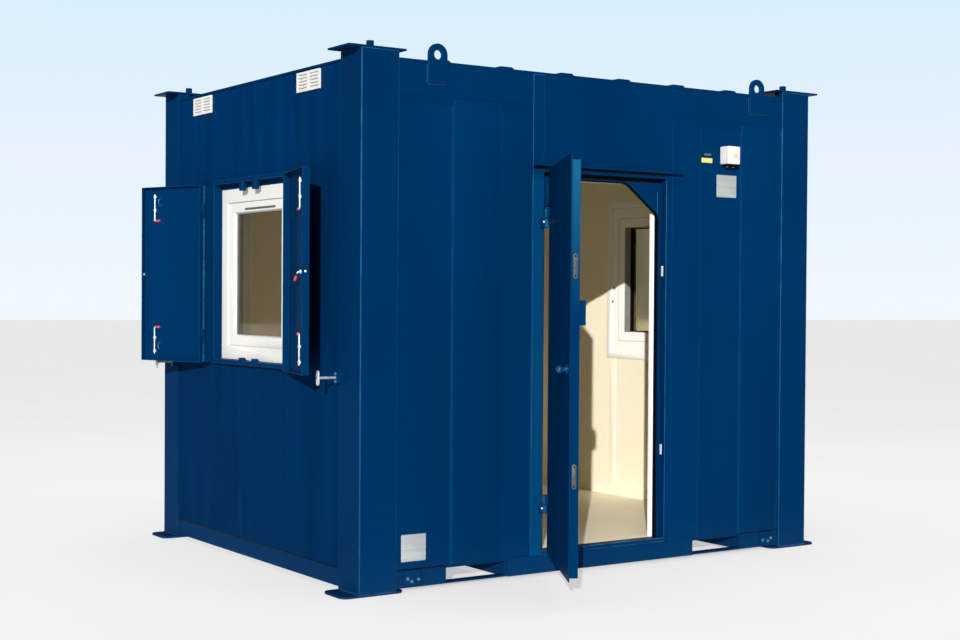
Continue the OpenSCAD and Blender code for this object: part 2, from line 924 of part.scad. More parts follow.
module right_shutters() {
  right_end() {
    near_shutter();
    far_shutter();
  }
}

// A slide bolt that shoots up, with its lower end at z = 0
module slide_bolt(in) {
  translate([-shutter_t / 2 + shutter_skin, shutter_end - in, 0]) {
    box([0, -bolt_plate_w / 2, bolt_l - bolt_plate_l], [bolt_plate_t, bolt_plate_w / 2, bolt_l]);
    translate([bolt_plate_t + bolt_d / 2 - eps, 0, 0]) {
      cylinder(d = bolt_d, h = bolt_l);
      translate([0, 0, grip_d / 2]) rotate([90, 0, 0]) {
        cylinder(d = bolt_d, h = handle_l);
        translate([0, 0, handle_l / 2]) cylinder(d = grip_d, h = handle_l / 2);
      }
    }
  }
}

module shutter_bolts(in) {
  color(zinc) {
    translate([0, 0, shutter_z + shutter_h - bolt_end - bolt_l]) slide_bolt(in);
    translate([0, 0, shutter_z + bolt_end + bolt_l]) mirror([0, 0, 1]) slide_bolt(in);
  }
}

module near_shutter_bolts() {
  on_near_shutter() shutter_bolts(near_bolt_in);
}

module far_shutter_bolts() {
  on_far_shutter() shutter_bolts(far_bolt_in);
}

module right_shutter_bolts() {
  right_end() {
    near_shutter_bolts();
    far_shutter_bolts();
  }
}

// A turn catch that stands out of the post beside an open shutter
module shutter_catch() {
  straight = catch_h - catch_w;
  translate([0, post_w - catch_in, catch_z]) {
    box([-catch_base_t, -catch_base_w / 2, -catch_base_h / 2], [0, catch_base_w / 2, catch_base_h / 2]);
    rotate([0, -90, 0]) {
      cylinder(d = stem_d, h = catch_out);
      translate([0, 0, catch_out - eps]) {
        box([-straight / 2, -catch_w / 2, 0], [straight / 2, catch_w / 2, catch_t]);
        for (x = [-straight / 2, straight / 2]) translate([x, 0, 0]) cylinder(d = catch_w, h = catch_t);
      }
    }
  }
}

module shutter_catches() {
  color(zinc) all_corners() shutter_catch();
}

module air_vent() {
  slot_pitch = vent_h / (vent_slots + 1);
  slot_y = (vent_slot_l + vent_rib) / 2;
  difference() {
    box([panel_set - vent_t, -vent_w / 2, vent_z], [panel_set, vent_w / 2, vent_z + vent_h]);
    for (i = [1 : vent_slots], side = [-1, 1])
      translate([panel_set - vent_t - cut, side * slot_y, vent_z + i * slot_pitch - vent_slot_h / 2])
        translate([0, -vent_slot_l / 2, 0]) cube([vent_slot_t + cut, vent_slot_l, vent_slot_h]);
  }
}

module air_vents() {
  color(white) all_corners() translate([0, vent_y, 0]) air_vent();
}

module power_inlet_box() {
  back_y = panel_set - inlet_plate_t;
  color(white) translate([lock_end + inlet_x, 0, inlet_z]) {
    box([-inlet_plate_in, back_y, -inlet_plate_in],
      [inlet_w + inlet_plate_in, panel_set, inlet_h + inlet_plate_in]);
    box([0, panel_set - inlet_t, 0], [inlet_w, back_y + eps, inlet_h]);
    for (side = [-1, 1]) translate([inlet_w / 2 + side * gland_x, panel_set - inlet_t / 2, -gland_l])
      cylinder(d = gland_d, h = gland_l + eps);
  }
}

from_corner() front_left_post();
from_corner() front_right_post();
from_corner() back_left_post();
from_corner() back_right_post();
from_corner() foot_plates();
from_corner() head_plates();
from_corner() front_base_rail();
from_corner() back_base_rail();
from_corner() end_base_rails();
from_corner() fork_pockets();
from_corner() floor_joists();
from_corner() floor_deck();
from_corner() front_top_rail();
from_corner() back_top_rail();
from_corner() roof_sheet();
from_corner() ceiling_lining();
from_corner() lifting_eyes();
from_corner() front_wall_left();
from_corner() front_wall_right();
from_corner() front_wall_over_door();
from_corner() back_wall();
from_corner() left_end_wall();
from_corner() right_end_wall();
from_corner() front_lining_sides();
from_corner() front_lining_over_door();
from_corner() back_lining();
from_corner() end_linings();
from_corner() door_hinge_jamb();
from_corner() door_lock_jamb();
from_corner() door_head();
from_corner() door_threshold();
from_corner() drip_rail();
from_corner() door_hinges();
from_corner() door_leaf();
from_corner() door_lock_box();
from_corner() door_lock_plates();
from_corner() door_knob();
from_corner() window_surrounds();
from_corner() window_frames();
from_corner() window_glass();
from_corner() shutter_hinges();
from_corner() near_shutter();
from_corner() far_shutter();
from_corner() near_shutter_bolts();
from_corner() far_shutter_bolts();
from_corner() right_shutters();
from_corner() right_shutter_bolts();
from_corner() shutter_catches();
from_corner() air_vents();
from_corner() power_inlet_box();
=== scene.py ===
# Blue steel portable site cabin: finishes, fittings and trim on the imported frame
import json
import math

import bmesh
import bpy
import numpy as np
from mathutils import Matrix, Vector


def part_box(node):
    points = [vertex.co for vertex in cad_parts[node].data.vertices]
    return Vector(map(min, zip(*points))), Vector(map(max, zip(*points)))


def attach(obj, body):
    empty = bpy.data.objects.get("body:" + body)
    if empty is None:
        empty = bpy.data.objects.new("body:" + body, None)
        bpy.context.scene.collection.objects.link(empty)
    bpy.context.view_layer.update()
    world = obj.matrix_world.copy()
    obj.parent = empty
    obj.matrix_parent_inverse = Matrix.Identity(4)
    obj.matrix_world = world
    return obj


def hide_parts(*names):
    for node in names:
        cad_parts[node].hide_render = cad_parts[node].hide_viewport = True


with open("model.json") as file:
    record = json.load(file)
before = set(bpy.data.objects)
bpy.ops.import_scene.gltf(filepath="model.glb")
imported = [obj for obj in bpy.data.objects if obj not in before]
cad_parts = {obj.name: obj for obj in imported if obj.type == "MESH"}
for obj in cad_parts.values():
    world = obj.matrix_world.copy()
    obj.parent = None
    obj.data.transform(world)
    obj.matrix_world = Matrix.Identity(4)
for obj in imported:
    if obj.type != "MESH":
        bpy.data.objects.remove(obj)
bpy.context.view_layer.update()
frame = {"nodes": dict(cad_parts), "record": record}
scene = bpy.context.scene
record = frame["record"]
nodeBody = {node: body for body, nodes in record["behaviour"]["bodies"].items() for node in nodes}
jointRow = {row["name"]: row for row in record["behaviour"]["joints"]}

# Pieces are drawn in millimetres from the cabin's front left corner: X along the front, Y to the back, Z up
cabinCorner = np.array([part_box("front_left_post")[0].x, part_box("front_left_post")[0].y, 0.0])
cabinSize = (np.array(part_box("back_right_post")[1]) - cabinCorner) * 1000
middleX, middleY = cabinSize[0] / 2, cabinSize[1] / 2
print("frame loaded, cabin", np.round(cabinSize))


def nodeBox(node):
    low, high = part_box(node)
    return (np.array(low) - cabinCorner) * 1000, (np.array(high) - cabinCorner) * 1000


# Camera fitted to the photograph: place in metres from the corner, angles in degrees, focal length in pixels
cameraFit = {"place": (-3.6835, -6.4946, 1.4604), "yaw": 33.96, "pitch": -0.92, "roll": -0.37,
             "focal": 1554.5, "image": (960, 640), "sensor": 36.0}


def cameraAxes(fit):
    yaw, pitch, roll = np.radians([fit["yaw"], fit["pitch"], fit["roll"]])
    forward = np.array([np.sin(yaw) * np.cos(pitch), np.cos(yaw) * np.cos(pitch), np.sin(pitch)])
    level = np.array([np.cos(yaw), -np.sin(yaw), 0.0])
    below = np.cross(forward, level)
    return np.cos(roll) * level + np.sin(roll) * below, np.cos(roll) * below - np.sin(roll) * level, forward


def addCamera(fit):
    right, down, forward = cameraAxes(fit)
    lens = bpy.data.cameras.new("photo_camera")
    lens.sensor_width = fit["sensor"]
    lens.lens = fit["focal"] * fit["sensor"] / fit["image"][0]
    lens.clip_end = 500
    camera = bpy.data.objects.new("photo_camera", lens)
    turn = np.eye(4)
    turn[:3, :3] = np.column_stack([right, -down, -forward])
    turn[:3, 3] = np.array(fit["place"]) + cabinCorner
    camera.matrix_world = Matrix(turn.tolist())
    scene.collection.objects.link(camera)
    scene.camera = camera


# Where the line of sight through a point of the picture meets the ground
def groundPoint(fit, x, y):
    right, down, forward = cameraAxes(fit)
    sight = fit["focal"] * forward + (x - fit["image"][0] / 2) * right + (y - fit["image"][1] / 2) * down
    place = np.array(fit["place"]) + cabinCorner
    return place - sight * place[2] / sight[2]


addCamera(cameraFit)
print("camera placed")


def hexLinear(text):
    srgb = np.array([int(text[i:i + 2], 16) for i in (1, 3, 5)]) / 255
    linear = np.where(srgb <= 0.04045, srgb / 12.92, ((srgb + 0.055) / 1.055) ** 2.4)
    return (*linear.tolist(), 1.0)


# Adds a shader node: values go to its own properties or sockets, links take a node's first output or a socket
def addNode(tree, kind, values=None, links=None):
    node = tree.nodes.new(kind)
    for key, value in (values or {}).items():
        if isinstance(key, str) and key in node.bl_rna.properties:
            setattr(node, key, value)
        else:
            node.inputs[key].default_value = value
    for key, source in (links or {}).items():
        tree.links.new(source.outputs[0] if hasattr(source, "outputs") else source, node.inputs[key])
    return node


# What finishes have unless they say otherwise, and what the blue paints and their painted edge highlights
# start from
usual = {"mottle": 0.05, "stretch": (1, 1, 1), "grain": 0.003, "bump": 0.00004, "shine": (0.5, "#FFFFFF"),
         "metal": 0.0, "glow": 0.0}
bluePaint = {"low": "#00264B", "high": "#002A53", "rough": (0.26, 0.38), "grain": 0.004, "bump": 0.00005,
             "shine": (0.004, "#3F86C4")}
highlightPaint = {"mottle": 0.12, "rough": (0.24, 0.36), "grain": 0.004, "bump": 0.00004,
               "shine": (0.03, "#5F9CCB")}
# Finishes, with lengths in metres. low and high are the two colours that mottle mixes, stretch is how much
# finer the mottle runs along each axis, rough the range of roughness, grain the size of the fine texture and
# bump its depth; wave is the size and depth of slow waviness; fade, dust, rust and speckle are a colour,
# an amount and a reach, and fade paints light and shade that change with height on some finishes; shine
# is the level and tint of the reflection; metal is how metallic it is; glow is light of its own.
finishes = {
    # Dark blue semi-gloss paint on folded sheet
    "paint": {**bluePaint, "mottle": 0.55, "stretch": (1, 1, 0.3), "wave": (0.30, 0.0010),
              "dust": ("#2C4456", 0.16, 0.22)},
    # The same paint on the end walls, darker towards the ground
    "endPaint": {**bluePaint, "low": "#00254A", "high": "#002C58", "mottle": 0.55, "stretch": (6, 6, 0.4),
                 "wave": (0.30, 0.0010), "fade": ("#001C38", 0.85, 2.2), "shine": (0.001, "#3F86C4")},
    # The same paint made lighter over a fold: a painted highlight where the light catches the folded edge
    "foldHighlight": {**highlightPaint, "low": "#04305A", "high": "#0E466E"},
    # A painted highlight on the rounded corners of the posts and jambs, brighter towards the top
    "cornerHighlight": {**highlightPaint, "low": "#0A3C62", "high": "#1E567E", "fade": ("#03305A", 1.2, 2.0)},
    # The same paint on the hinge jamb, painted paler below the drip rail for its light, darker above for the
    # rail's shadow
    "jambLitPaint": {**bluePaint, "mottle": 0.4, "fade": ("#013963", 40, 2.13)},
    # The same paint on the door leaf's free edge with a painted sky reflection, paler towards the top
    "leafEdgeReflection": {**bluePaint, "low": "#0F4A6C", "high": "#135274", "mottle": 0.3, "rough": (0.30, 0.42),
                 "bump": 0.00004, "fade": ("#00284F", 5.5, 2.12)},
    # The same paint darkened in the door's rebate: painted shade in the recess
    "rebateShade": {**bluePaint, "low": "#00244A", "high": "#002850", "mottle": 0.3, "rough": (0.40, 0.55)},
    # Paint worn through in chips on an edge that is stepped on, also paler to paint the light catching that
    # edge
    "wornAndLitEdge": {**bluePaint, "low": "#012A52", "high": "#3F6F8C", "mottle": 0.06, "rough": (0.34, 0.55),
                 "bump": 0.0001, "shine": (0.1, "#9FC0D6")},
    # Wet-looking paint on turned pieces that hands polish
    "glossPaint": {"low": "#02305C", "high": "#073F6C", "rough": (0.12, 0.20), "bump": 0.00002,
                   "shine": (0.4, "#DCEBF7")},
    # Paint on bolt heads, with pale specks for chips that also paint the glints of light on them
    "boltChipsAndGlints": {"low": "#12395A", "high": "#4F7F9C", "mottle": 0.006, "rough": (0.30, 0.50),
                  "bump": 0.00005, "shine": (0.3, "#FFFFFF")},
    # Paint near the ground, dusty and rusting at the lower edge
    "footPaint": {**bluePaint, "mottle": 0.3, "rough": (0.30, 0.50), "grain": 0.005, "bump": 0.0001,
                  "dust": ("#24394A", 0.25, 0.05), "rust": ("#6B3A22", 0.4, 0.008)},
    # Near-black strip that paints the shadow in a joint
    "paintedShadow": {"low": "#00060D", "high": "#010A16", "rough": (0.5, 0.7), "bump": 0.0001,
               "shine": (0.1, "#FFFFFF")},
    # Cream vinyl-faced lining board
    "cream": {"low": "#EEE5CB", "high": "#F1E9D3", "mottle": 0.8, "rough": (0.48, 0.62), "bump": 0.00006,
              "shine": (0.3, "#FFFFFF")},
    # Beige sheet vinyl with fine chips
    "vinyl": {"low": "#F3E8CA", "high": "#F8EFD8", "mottle": 0.5, "rough": (0.40, 0.58), "grain": 0.004,
              "bump": 0.00005, "speckle": ("#BFAE86", 0.6, 0.006)},
    # White extruded or moulded PVC as it is used in sunlight; the brightened white below is a painted-light
    # copy of it
    "white": {"low": "#CDCECB", "high": "#D6D6D3", "mottle": 0.4, "rough": (0.24, 0.36), "grain": 0.006,
              "bump": 0.00002, "shine": (0.4, "#FFFFFF")},
    # The same white PVC and painted timber on the room side, made brighter: painted light for parts that
    # stand in shade
    "brightenedWhite": {"low": "#F3F3F0", "high": "#F9F9F7", "mottle": 0.4, "rough": (0.30, 0.44),
                  "grain": 0.006, "bump": 0.00002, "shine": (0.4, "#FFFFFF")},
    # The same PVC with a film of road dust
    "dustyWhite": {"low": "#C6C6C5", "high": "#D0CFCE", "mottle": 0.06, "rough": (0.34, 0.50),
                   "grain": 0.005, "bump": 0.00003, "shine": (0.3, "#FFFFFF")},
    # Mid grey plastic insert
    "grey": {"low": "#4B4C4C", "high": "#565757", "rough": (0.40, 0.55)},
    # Dull grey lining of a reveal
    "dullGasket": {"low": "#727370", "high": "#7A7B78", "rough": (0.50, 0.65), "bump": 0.00005},
    # Pale grey glazing gasket
    "paleGasket": {"low": "#A7A8A6", "high": "#B1B2B0", "rough": (0.50, 0.65)},
    # Bright zinc plate with its spangle
    "zinc": {"low": "#AEBBC2", "high": "#CFD8DB", "mottle": 0.012, "rough": (0.30, 0.46), "metal": 0.6},
    # Zinc on the lock keeps and hinge studs, made near white to paint the glint of light on it
    "glintZinc": {"low": "#DCE1E4", "high": "#E8ECEE", "mottle": 0.012, "rough": (0.34, 0.46),
                 "bump": 0.00003, "metal": 0.2},
    # Dull steel of the lock faceplates and latches
    "steel": {"low": "#2A3135", "high": "#3E474B", "mottle": 0.012, "rough": (0.45, 0.60), "grain": 0.002,
              "metal": 0.3},
    # Brushed aluminium, brushed along X
    "brushed": {"low": "#9CA2A2", "high": "#ABB2B4", "mottle": 0.02, "stretch": (0.05, 1, 1),
                "rough": (0.40, 0.55), "grain": 0.0015, "bump": 0.00003, "metal": 0.3},
    # Black rubber seal
    "rubber": {"low": "#030304", "high": "#070708", "rough": (0.55, 0.75), "grain": 0.002, "bump": 0.00008,
               "shine": (0.05, "#FFFFFF")},
    # Red dipped vinyl grip
    "red": {"low": "#A9322F", "high": "#BE4542", "mottle": 0.02, "rough": (0.30, 0.45), "bump": 0.00005},
    # Plain yellow plastic tag
    "yellow": {"low": "#BFB85E", "high": "#CBC572", "mottle": 0.03, "rough": (0.35, 0.48), "bump": 0.00003},
    # Translucent amber cover
    "amber": {"low": "#D2B274", "high": "#DCC28A", "mottle": 0.02, "rough": (0.18, 0.30), "bump": 0.00002},
    # Pale grey nylon
    "nylon": {"low": "#9FA5A2", "high": "#AAAFAC", "mottle": 0.03, "rough": (0.36, 0.50)},
    # Pale studio floor with a light of its own
    "floor": {"low": "#B1B1B1", "high": "#B5B5B5", "mottle": 1.5, "rough": (0.80, 0.95), "grain": 0.02,
              "bump": 0.0002, "shine": (0.1, "#FFFFFF"), "glow": 0.52},
}


def makeFinish(name, look):
    look = {**usual, **look}
    made = bpy.data.materials.new(name)
    made.use_nodes = True
    tree = made.node_tree
    shader = tree.nodes["Principled BSDF"]
    level, tint = look["shine"]
    for key, value in {"Metallic": look["metal"], "Specular IOR Level": level,
                       "Specular Tint": hexLinear(tint), "Emission Strength": look["glow"]}.items():
        shader.inputs[key].default_value = value
    place = addNode(tree, "ShaderNodeTexCoord").outputs["Object"]
    drawn = addNode(tree, "ShaderNodeMapping", {"Scale": look["stretch"]}, {"Vector": place})
    mottle = addNode(tree, "ShaderNodeTexNoise", {"Scale": 1 / look["mottle"], "Detail": 4.0},
                     {"Vector": drawn})
    spread = addNode(tree, "ShaderNodeMapRange", {"From Min": 0.3, "From Max": 0.7}, {"Value": mottle})
    ends = {"data_type": "RGBA", 6: hexLinear(look["low"]), 7: hexLinear(look["high"])}
    colour = addNode(tree, "ShaderNodeMix", ends, {0: spread}).outputs[2]
    height = addNode(tree, "ShaderNodeSeparateXYZ", None, {"Vector": place}).outputs["Z"]
    # Height tint, dust and rust weaken with height above the ground and break up with a noise of their own
    for key, patch in (("fade", 2.5), ("dust", 0.12), ("rust", 0.05)):
        if key in look:
            tint, amount, reach = look[key]
            low = addNode(tree, "ShaderNodeMapRange", {"From Max": reach, "To Min": amount, "To Max": 0.0},
                          {"Value": height})
            broken = addNode(tree, "ShaderNodeTexNoise", {"Scale": 1 / patch, "Detail": 5.0},
                             {"Vector": place})
            share = addNode(tree, "ShaderNodeMath", {"operation": "MULTIPLY", "use_clamp": True},
                            {0: low, 1: broken})
            colour = addNode(tree, "ShaderNodeMix", {"data_type": "RGBA", 7: hexLinear(tint)},
                             {0: share, 6: colour}).outputs[2]
    if "speckle" in look:
        tint, amount, size = look["speckle"]
        chips = addNode(tree, "ShaderNodeTexVoronoi", {"Scale": 1 / size}, {"Vector": place})
        chosen = addNode(tree, "ShaderNodeMapRange", {"From Min": 0.12, "From Max": 0.24, "To Min": amount,
                                                      "To Max": 0.0}, {"Value": chips})
        colour = addNode(tree, "ShaderNodeMix", {"data_type": "RGBA", 7: hexLinear(tint)},
                         {0: chosen, 6: colour}).outputs[2]
    tree.links.new(colour, shader.inputs["Base Color"])
    grain = addNode(tree, "ShaderNodeTexNoise", {"Scale": 1 / look["grain"], "Detail": 2.0},
                    {"Vector": drawn})
    wear = addNode(tree, "ShaderNodeTexNoise", {"Scale": 3.0, "Detail": 6.0}, {"Vector": drawn})
    least, most = look["rough"]
    gloss = addNode(tree, "ShaderNodeMapRange",
                    {"From Min": 0.3, "From Max": 0.7, "To Min": least, "To Max": most}, {"Value": wear})
    tree.links.new(gloss.outputs[0], shader.inputs["Roughness"])
    relief = addNode(tree, "ShaderNodeBump", {"Strength": 1.0, "Distance": look["bump"]}, {"Height": grain})
    if "wave" in look:
        size, depth = look["wave"]
        slow = addNode(tree, "ShaderNodeTexNoise", {"Scale": 1 / size, "Detail": 1.0}, {"Vector": drawn})
        relief = addNode(tree, "ShaderNodeBump", {"Strength": 1.0, "Distance": depth},
                         {"Height": slow, "Normal": relief})
    tree.links.new(relief.outputs[0], shader.inputs["Normal"])
    return made


finish = {name: makeFinish(name, look) for name, look in finishes.items()}


# Clear sealed glass with a strong yellow-brown tint that paints the reflections and dim view it shows, with a
# film of dust that shows in its roughness
def makeGlass(tint, cover):
    glass = bpy.data.materials.new("glass")
    glass.use_nodes = True
    tree = glass.node_tree
    shader = tree.nodes["Principled BSDF"]
    for key, value in {"Base Color": hexLinear(tint), "Transmission Weight": 1.0, "IOR": 1.45,
                       "Alpha": cover}.items():
        shader.inputs[key].default_value = value
    place = addNode(tree, "ShaderNodeTexCoord").outputs["Object"]
    film = addNode(tree, "ShaderNodeTexNoise", {"Scale": 5.0, "Detail": 6.0}, {"Vector": place})
    gloss = addNode(tree, "ShaderNodeMapRange",
                    {"From Min": 0.35, "From Max": 0.75, "To Min": 0.01, "To Max": 0.08}, {"Value": film})
    tree.links.new(gloss.outputs[0], shader.inputs["Roughness"])
    return glass


finish["glass"] = makeGlass("#D2C084", 0.85)
print("finishes made", len(finish))

# The two axes that a picture drawn on each face of the cabin runs along, seen from in front of that face
faceAxes = {"front": ((1, 0, 0), (0, 0, 1)), "back": ((-1, 0, 0), (0, 0, 1)), "left": ((0, -1, 0), (0, 0, 1)),
            "right": ((0, 1, 0), (0, 0, 1)), "top": ((1, 0, 0), (0, 1, 0)), "bottom": ((1, 0, 0), (0, -1, 0))}


# Rings drawn flat with their depth as third number, set on a face at a place
def onFace(rings, place, face):
    u, v = np.array(faceAxes[face], float)
    rings = np.asarray(rings, float)
    flat = np.asarray(place, float) + rings[..., :1] * u + rings[..., 1:2] * v
    return flat + rings[..., 2:] * np.cross(u, v)


# A rounded rectangle: four quarter circles, one on each corner of the rectangle drawn in by the radius
def roundedLoop(width, height, radius, steps=4):
    angle = (np.arange(4)[:, None] * np.pi / 2 + np.linspace(0, np.pi / 2, steps + 1)).ravel()
    side = np.repeat([[1, 1], [-1, 1], [-1, -1], [1, -1]], steps + 1, axis=0)
    return side * [width / 2 - radius, height / 2 - radius] + radius * np.c_[np.cos(angle), np.sin(angle)]


# A plate: rounded rectangles stacked in depth, drawn in along a quarter circle at the outer edge
def plateRings(width, height, radius, thick, edge, steps=3):
    turn = np.linspace(0, np.pi / 2, steps + 1)
    inset = np.r_[0, edge * (1 - np.cos(turn))]
    depth = np.r_[0, thick - edge * (1 - np.sin(turn))]
    loops = [roundedLoop(width - 2 * i, height - 2 * i, max(radius - i, 0.2)) for i in inset]
    return np.dstack([np.stack(loops), np.broadcast_to(depth[:, None], (len(depth), len(loops[0])))])


# A turned piece: a profile of radius and depth carried round the depth axis
def turnedRings(profile, steps=24):
    radius, depth = (column[:, None] for column in np.array(profile, float).T)
    angle = np.linspace(0, 2 * np.pi, steps, endpoint=False)
    depth = np.broadcast_to(depth, (len(depth), steps))
    return np.dstack([radius * np.cos(angle), radius * np.sin(angle), depth])


# A section carried along a flat path: its first number runs to the path's left, its second along up, mitred
# where the path turns
def sweptRings(path, section, up, closed=False):
    path, section, up = (np.asarray(a, float) for a in (path, section, up))
    before, after = path - np.roll(path, 1, 0), np.roll(path, -1, 0) - path
    if not closed:
        before[0], after[-1] = after[0], before[-1]
    sides = [np.cross(up, step / np.linalg.norm(step, axis=1, keepdims=True)) for step in (before, after)]
    side = (sides[0] + sides[1]) / (1 + (sides[0] * sides[1]).sum(1, keepdims=True))
    return path[:, None] + section[None, :, :1] * side[:, None] + section[None, :, 1:2] * up


# A path with each inner corner rounded: a quadratic curve between points that lie a reach from the corner
def softPath(points, reach, steps=8):
    points = np.asarray(points, float)
    s = np.linspace(0, 1, steps)[:, None]
    unit = lambda v: v / np.linalg.norm(v)
    bends = [(1 - s) ** 2 * (p + reach * unit(a - p)) + 2 * s * (1 - s) * p
             + s ** 2 * (p + reach * unit(b - p))
             for a, p, b in zip(points[:-2], points[1:-1], points[2:])]
    return np.concatenate([points[:1], *bends, points[-1:]])


# A round bar along a path: circles across the path, each with its own radius
def barRings(path, radius, steps=12):
    path = np.asarray(path, float)
    ahead = np.gradient(path, axis=0)
    ahead /= np.linalg.norm(ahead, axis=1, keepdims=True)
    across = np.cross(ahead, np.where(np.abs(ahead[:, 2:]) > 0.9, [[1.0, 0, 0]], [[0, 0, 1.0]]))
    across /= np.linalg.norm(across, axis=1, keepdims=True)
    other = np.cross(ahead, across)
    angle = np.linspace(0, 2 * np.pi, steps, endpoint=False)[None, :, None]
    radius = np.broadcast_to(radius, len(path))[:, None, None]
    return path[:, None] + radius * (np.cos(angle) * across[:, None] + np.sin(angle) * other[:, None])


# Skins a stack of rings with four-sided faces and closes its ends, or joins the last ring to the first
def skin(rings, joined=False):
    rings = np.asarray(rings, float)
    count, around = rings.shape[:2]
    ids = np.arange(count * around).reshape(count, around)
    low, high = (ids, np.roll(ids, -1, 0)) if joined else (ids[:-1], ids[1:])
    quads = np.stack([low, np.roll(low, -1, 1), np.roll(high, -1, 1), high], -1).reshape(-1, 4).tolist()
    ends = [] if joined else [ids[0, ::-1].tolist(), ids[-1].tolist()]
    return rings.reshape(-1, 3), quads + ends


def mirrored(parts, axis, middle):
    flip, shift = np.ones(3), np.zeros(3)
    flip[axis], shift[axis] = -1, 2 * middle
    return [(points * flip + shift, [face[::-1] for face in faces]) for points, faces in parts]


def bothEnds(parts):
    return parts + mirrored(parts, 0, middleX)


def bothSides(parts):
    return parts + mirrored(parts, 1, middleY)


# A joint's place in millimetres from the corner
def pivotOf(joint):
    return (np.array(jointRow[joint]["pos_m"]) - cabinCorner) * 1000


# Turns parts that are drawn on a closed leaf to where the joint holds it at rest
def opened(parts, joint):
    row, pivot = jointRow[joint], pivotOf(joint)
    angle = -math.radians(row["range_deg"][0]) * row["axis"][2]
    cos, sin = math.cos(angle), math.sin(angle)
    turn = np.array([[cos, -sin, 0], [sin, cos, 0], [0, 0, 1]])
    return [((points - pivot) @ turn.T + pivot, faces) for points, faces in parts]


pieces = {}


def addPiece(name, parts, look, body="cabin", nodes=(), sharp=35):
    start = np.cumsum([0] + [len(points) for points, faces in parts])
    points = np.concatenate([points for points, faces in parts]) / 1000 + cabinCorner
    faces = [[i + first for i in face] for (_, rows), first in zip(parts, start) for face in rows]
    mesh = bpy.data.meshes.new(name)
    mesh.from_pydata(points.tolist(), [], faces)
    # Each part is a closed skin: its faces are turned outwards together
    work = bmesh.new()
    work.from_mesh(mesh)
    bmesh.ops.recalc_face_normals(work, faces=work.faces)
    work.to_mesh(mesh)
    work.free()
    mesh.polygons.foreach_set("use_smooth", np.ones(len(mesh.polygons), bool))
    mesh.set_sharp_from_angle(angle=math.radians(sharp))
    mesh.materials.append(finish[look])
    piece = bpy.data.objects.new(name, mesh)
    scene.collection.objects.link(piece)
    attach(piece, body)
    if nodes:
        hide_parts(*nodes)
    pieces[name] = piece


# A copy of a CAD node whose corners are folded round: merged, its flat faces joined, then bevelled
def foldedCopy(node, fold, look, edge, segments=2):
    work = bmesh.new()
    work.from_mesh(frame["nodes"][node].data)
    bmesh.ops.remove_doubles(work, verts=work.verts, dist=0.00002)
    bmesh.ops.dissolve_limit(work, angle_limit=math.radians(1), verts=work.verts, edges=work.edges)
    mesh = bpy.data.meshes.new(node + "_folded")
    work.to_mesh(mesh)
    work.free()
    mesh.materials.clear()
    mesh.materials.append(finish[look])
    mesh.materials.append(finish[edge])
    mesh.polygons.foreach_set("material_index", np.zeros(len(mesh.polygons), np.int32))
    mesh.polygons.foreach_set("use_smooth", np.ones(len(mesh.polygons), bool))
    mesh.set_sharp_from_angle(angle=math.radians(30))
    piece = bpy.data.objects.new(node + "_folded", mesh)
    scene.collection.objects.link(piece)
    bevel = piece.modifiers.new("fold", "BEVEL")
    bevel.width, bevel.segments, bevel.limit_method = fold / 1000, segments, "ANGLE"
    bevel.angle_limit, bevel.material, bevel.harden_normals = math.radians(30), 1, True
    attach(piece, nodeBody[node])
    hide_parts(node)
    pieces[piece.name] = piece


# Folded copies by the fold's width in millimetres, the finish and the finish of the fold; the highlight
# finishes paint the light catching the folded edges
folds = {
    (5, "paint", "cornerHighlight"): ["front_left_post", "front_right_post"],
    (3, "jambLitPaint", "cornerHighlight"): ["door_hinge_jamb"],
    (3, "paint", "cornerHighlight"): ["lifting_eyes"],
    (3, "paint", "paint"): ["back_left_post", "back_right_post"],
    (2, "footPaint", "footPaint"): ["foot_plates"],
    (2, "paint", "paint"): ["head_plates", "front_base_rail", "back_base_rail", "end_base_rails",
                            "fork_pockets", "front_top_rail", "back_top_rail", "roof_sheet", "door_head",
                            "drip_rail"],
    (1, "paint", "paint"): ["front_wall_over_door", "shutter_hinges"],
    (1, "paint", "foldHighlight"): ["front_wall_left", "front_wall_right", "back_wall"],
    (1, "endPaint", "endPaint"): ["left_end_wall", "right_end_wall"],
    # The lock jamb's fold edges take the darkened rebate finish: painted shade
    (2, "paint", "rebateShade"): ["door_lock_jamb"],
    (2, "paint", "foldHighlight"): ["window_surrounds", "near_shutter", "far_shutter", "right_shutters"],
    (1.5, "paint", "foldHighlight"): ["door_leaf"],
    (4, "paint", "foldHighlight"): ["door_lock_box"],
    (2, "paint", "wornAndLitEdge"): ["door_threshold"],
    (1.2, "paint", "foldHighlight"): ["door_hinges"],
    (0.8, "glossPaint", "glossPaint"): ["door_knob"],
    (2, "white", "white"): ["window_frames"],
    (1.5, "dustyWhite", "dustyWhite"): ["air_vents"],
}
for (fold, look, edge), nodes in folds.items():
    for node in nodes:
        foldedCopy(node, fold, look, edge)


# Gives a finish of their own to the faces of a copy whose middles lie in a span of X, or of distance from an
# upright axis
def finishSpan(node, look, low, high, axis=None):
    mesh = pieces[node + "_folded"].data
    mesh.materials.append(finish[look])
    middles = np.empty(3 * len(mesh.polygons))
    mesh.polygons.foreach_get("center", middles)
    x, y = ((middles[side::3] - cabinCorner[side]) * 1000 for side in (0, 1))
    reach = x if axis is None else np.hypot(x - axis[0], y - axis[1])
    chosen = np.where((reach > low) & (reach < high), len(mesh.materials) - 1, 0)
    mesh.polygons.foreach_set("material_index", chosen.astype(np.int32))


# The far window's frame, seen from the room, takes the brightened white: painted light on the same PVC
finishSpan("window_frames", "brightenedWhite", middleX, cabinSize[0])
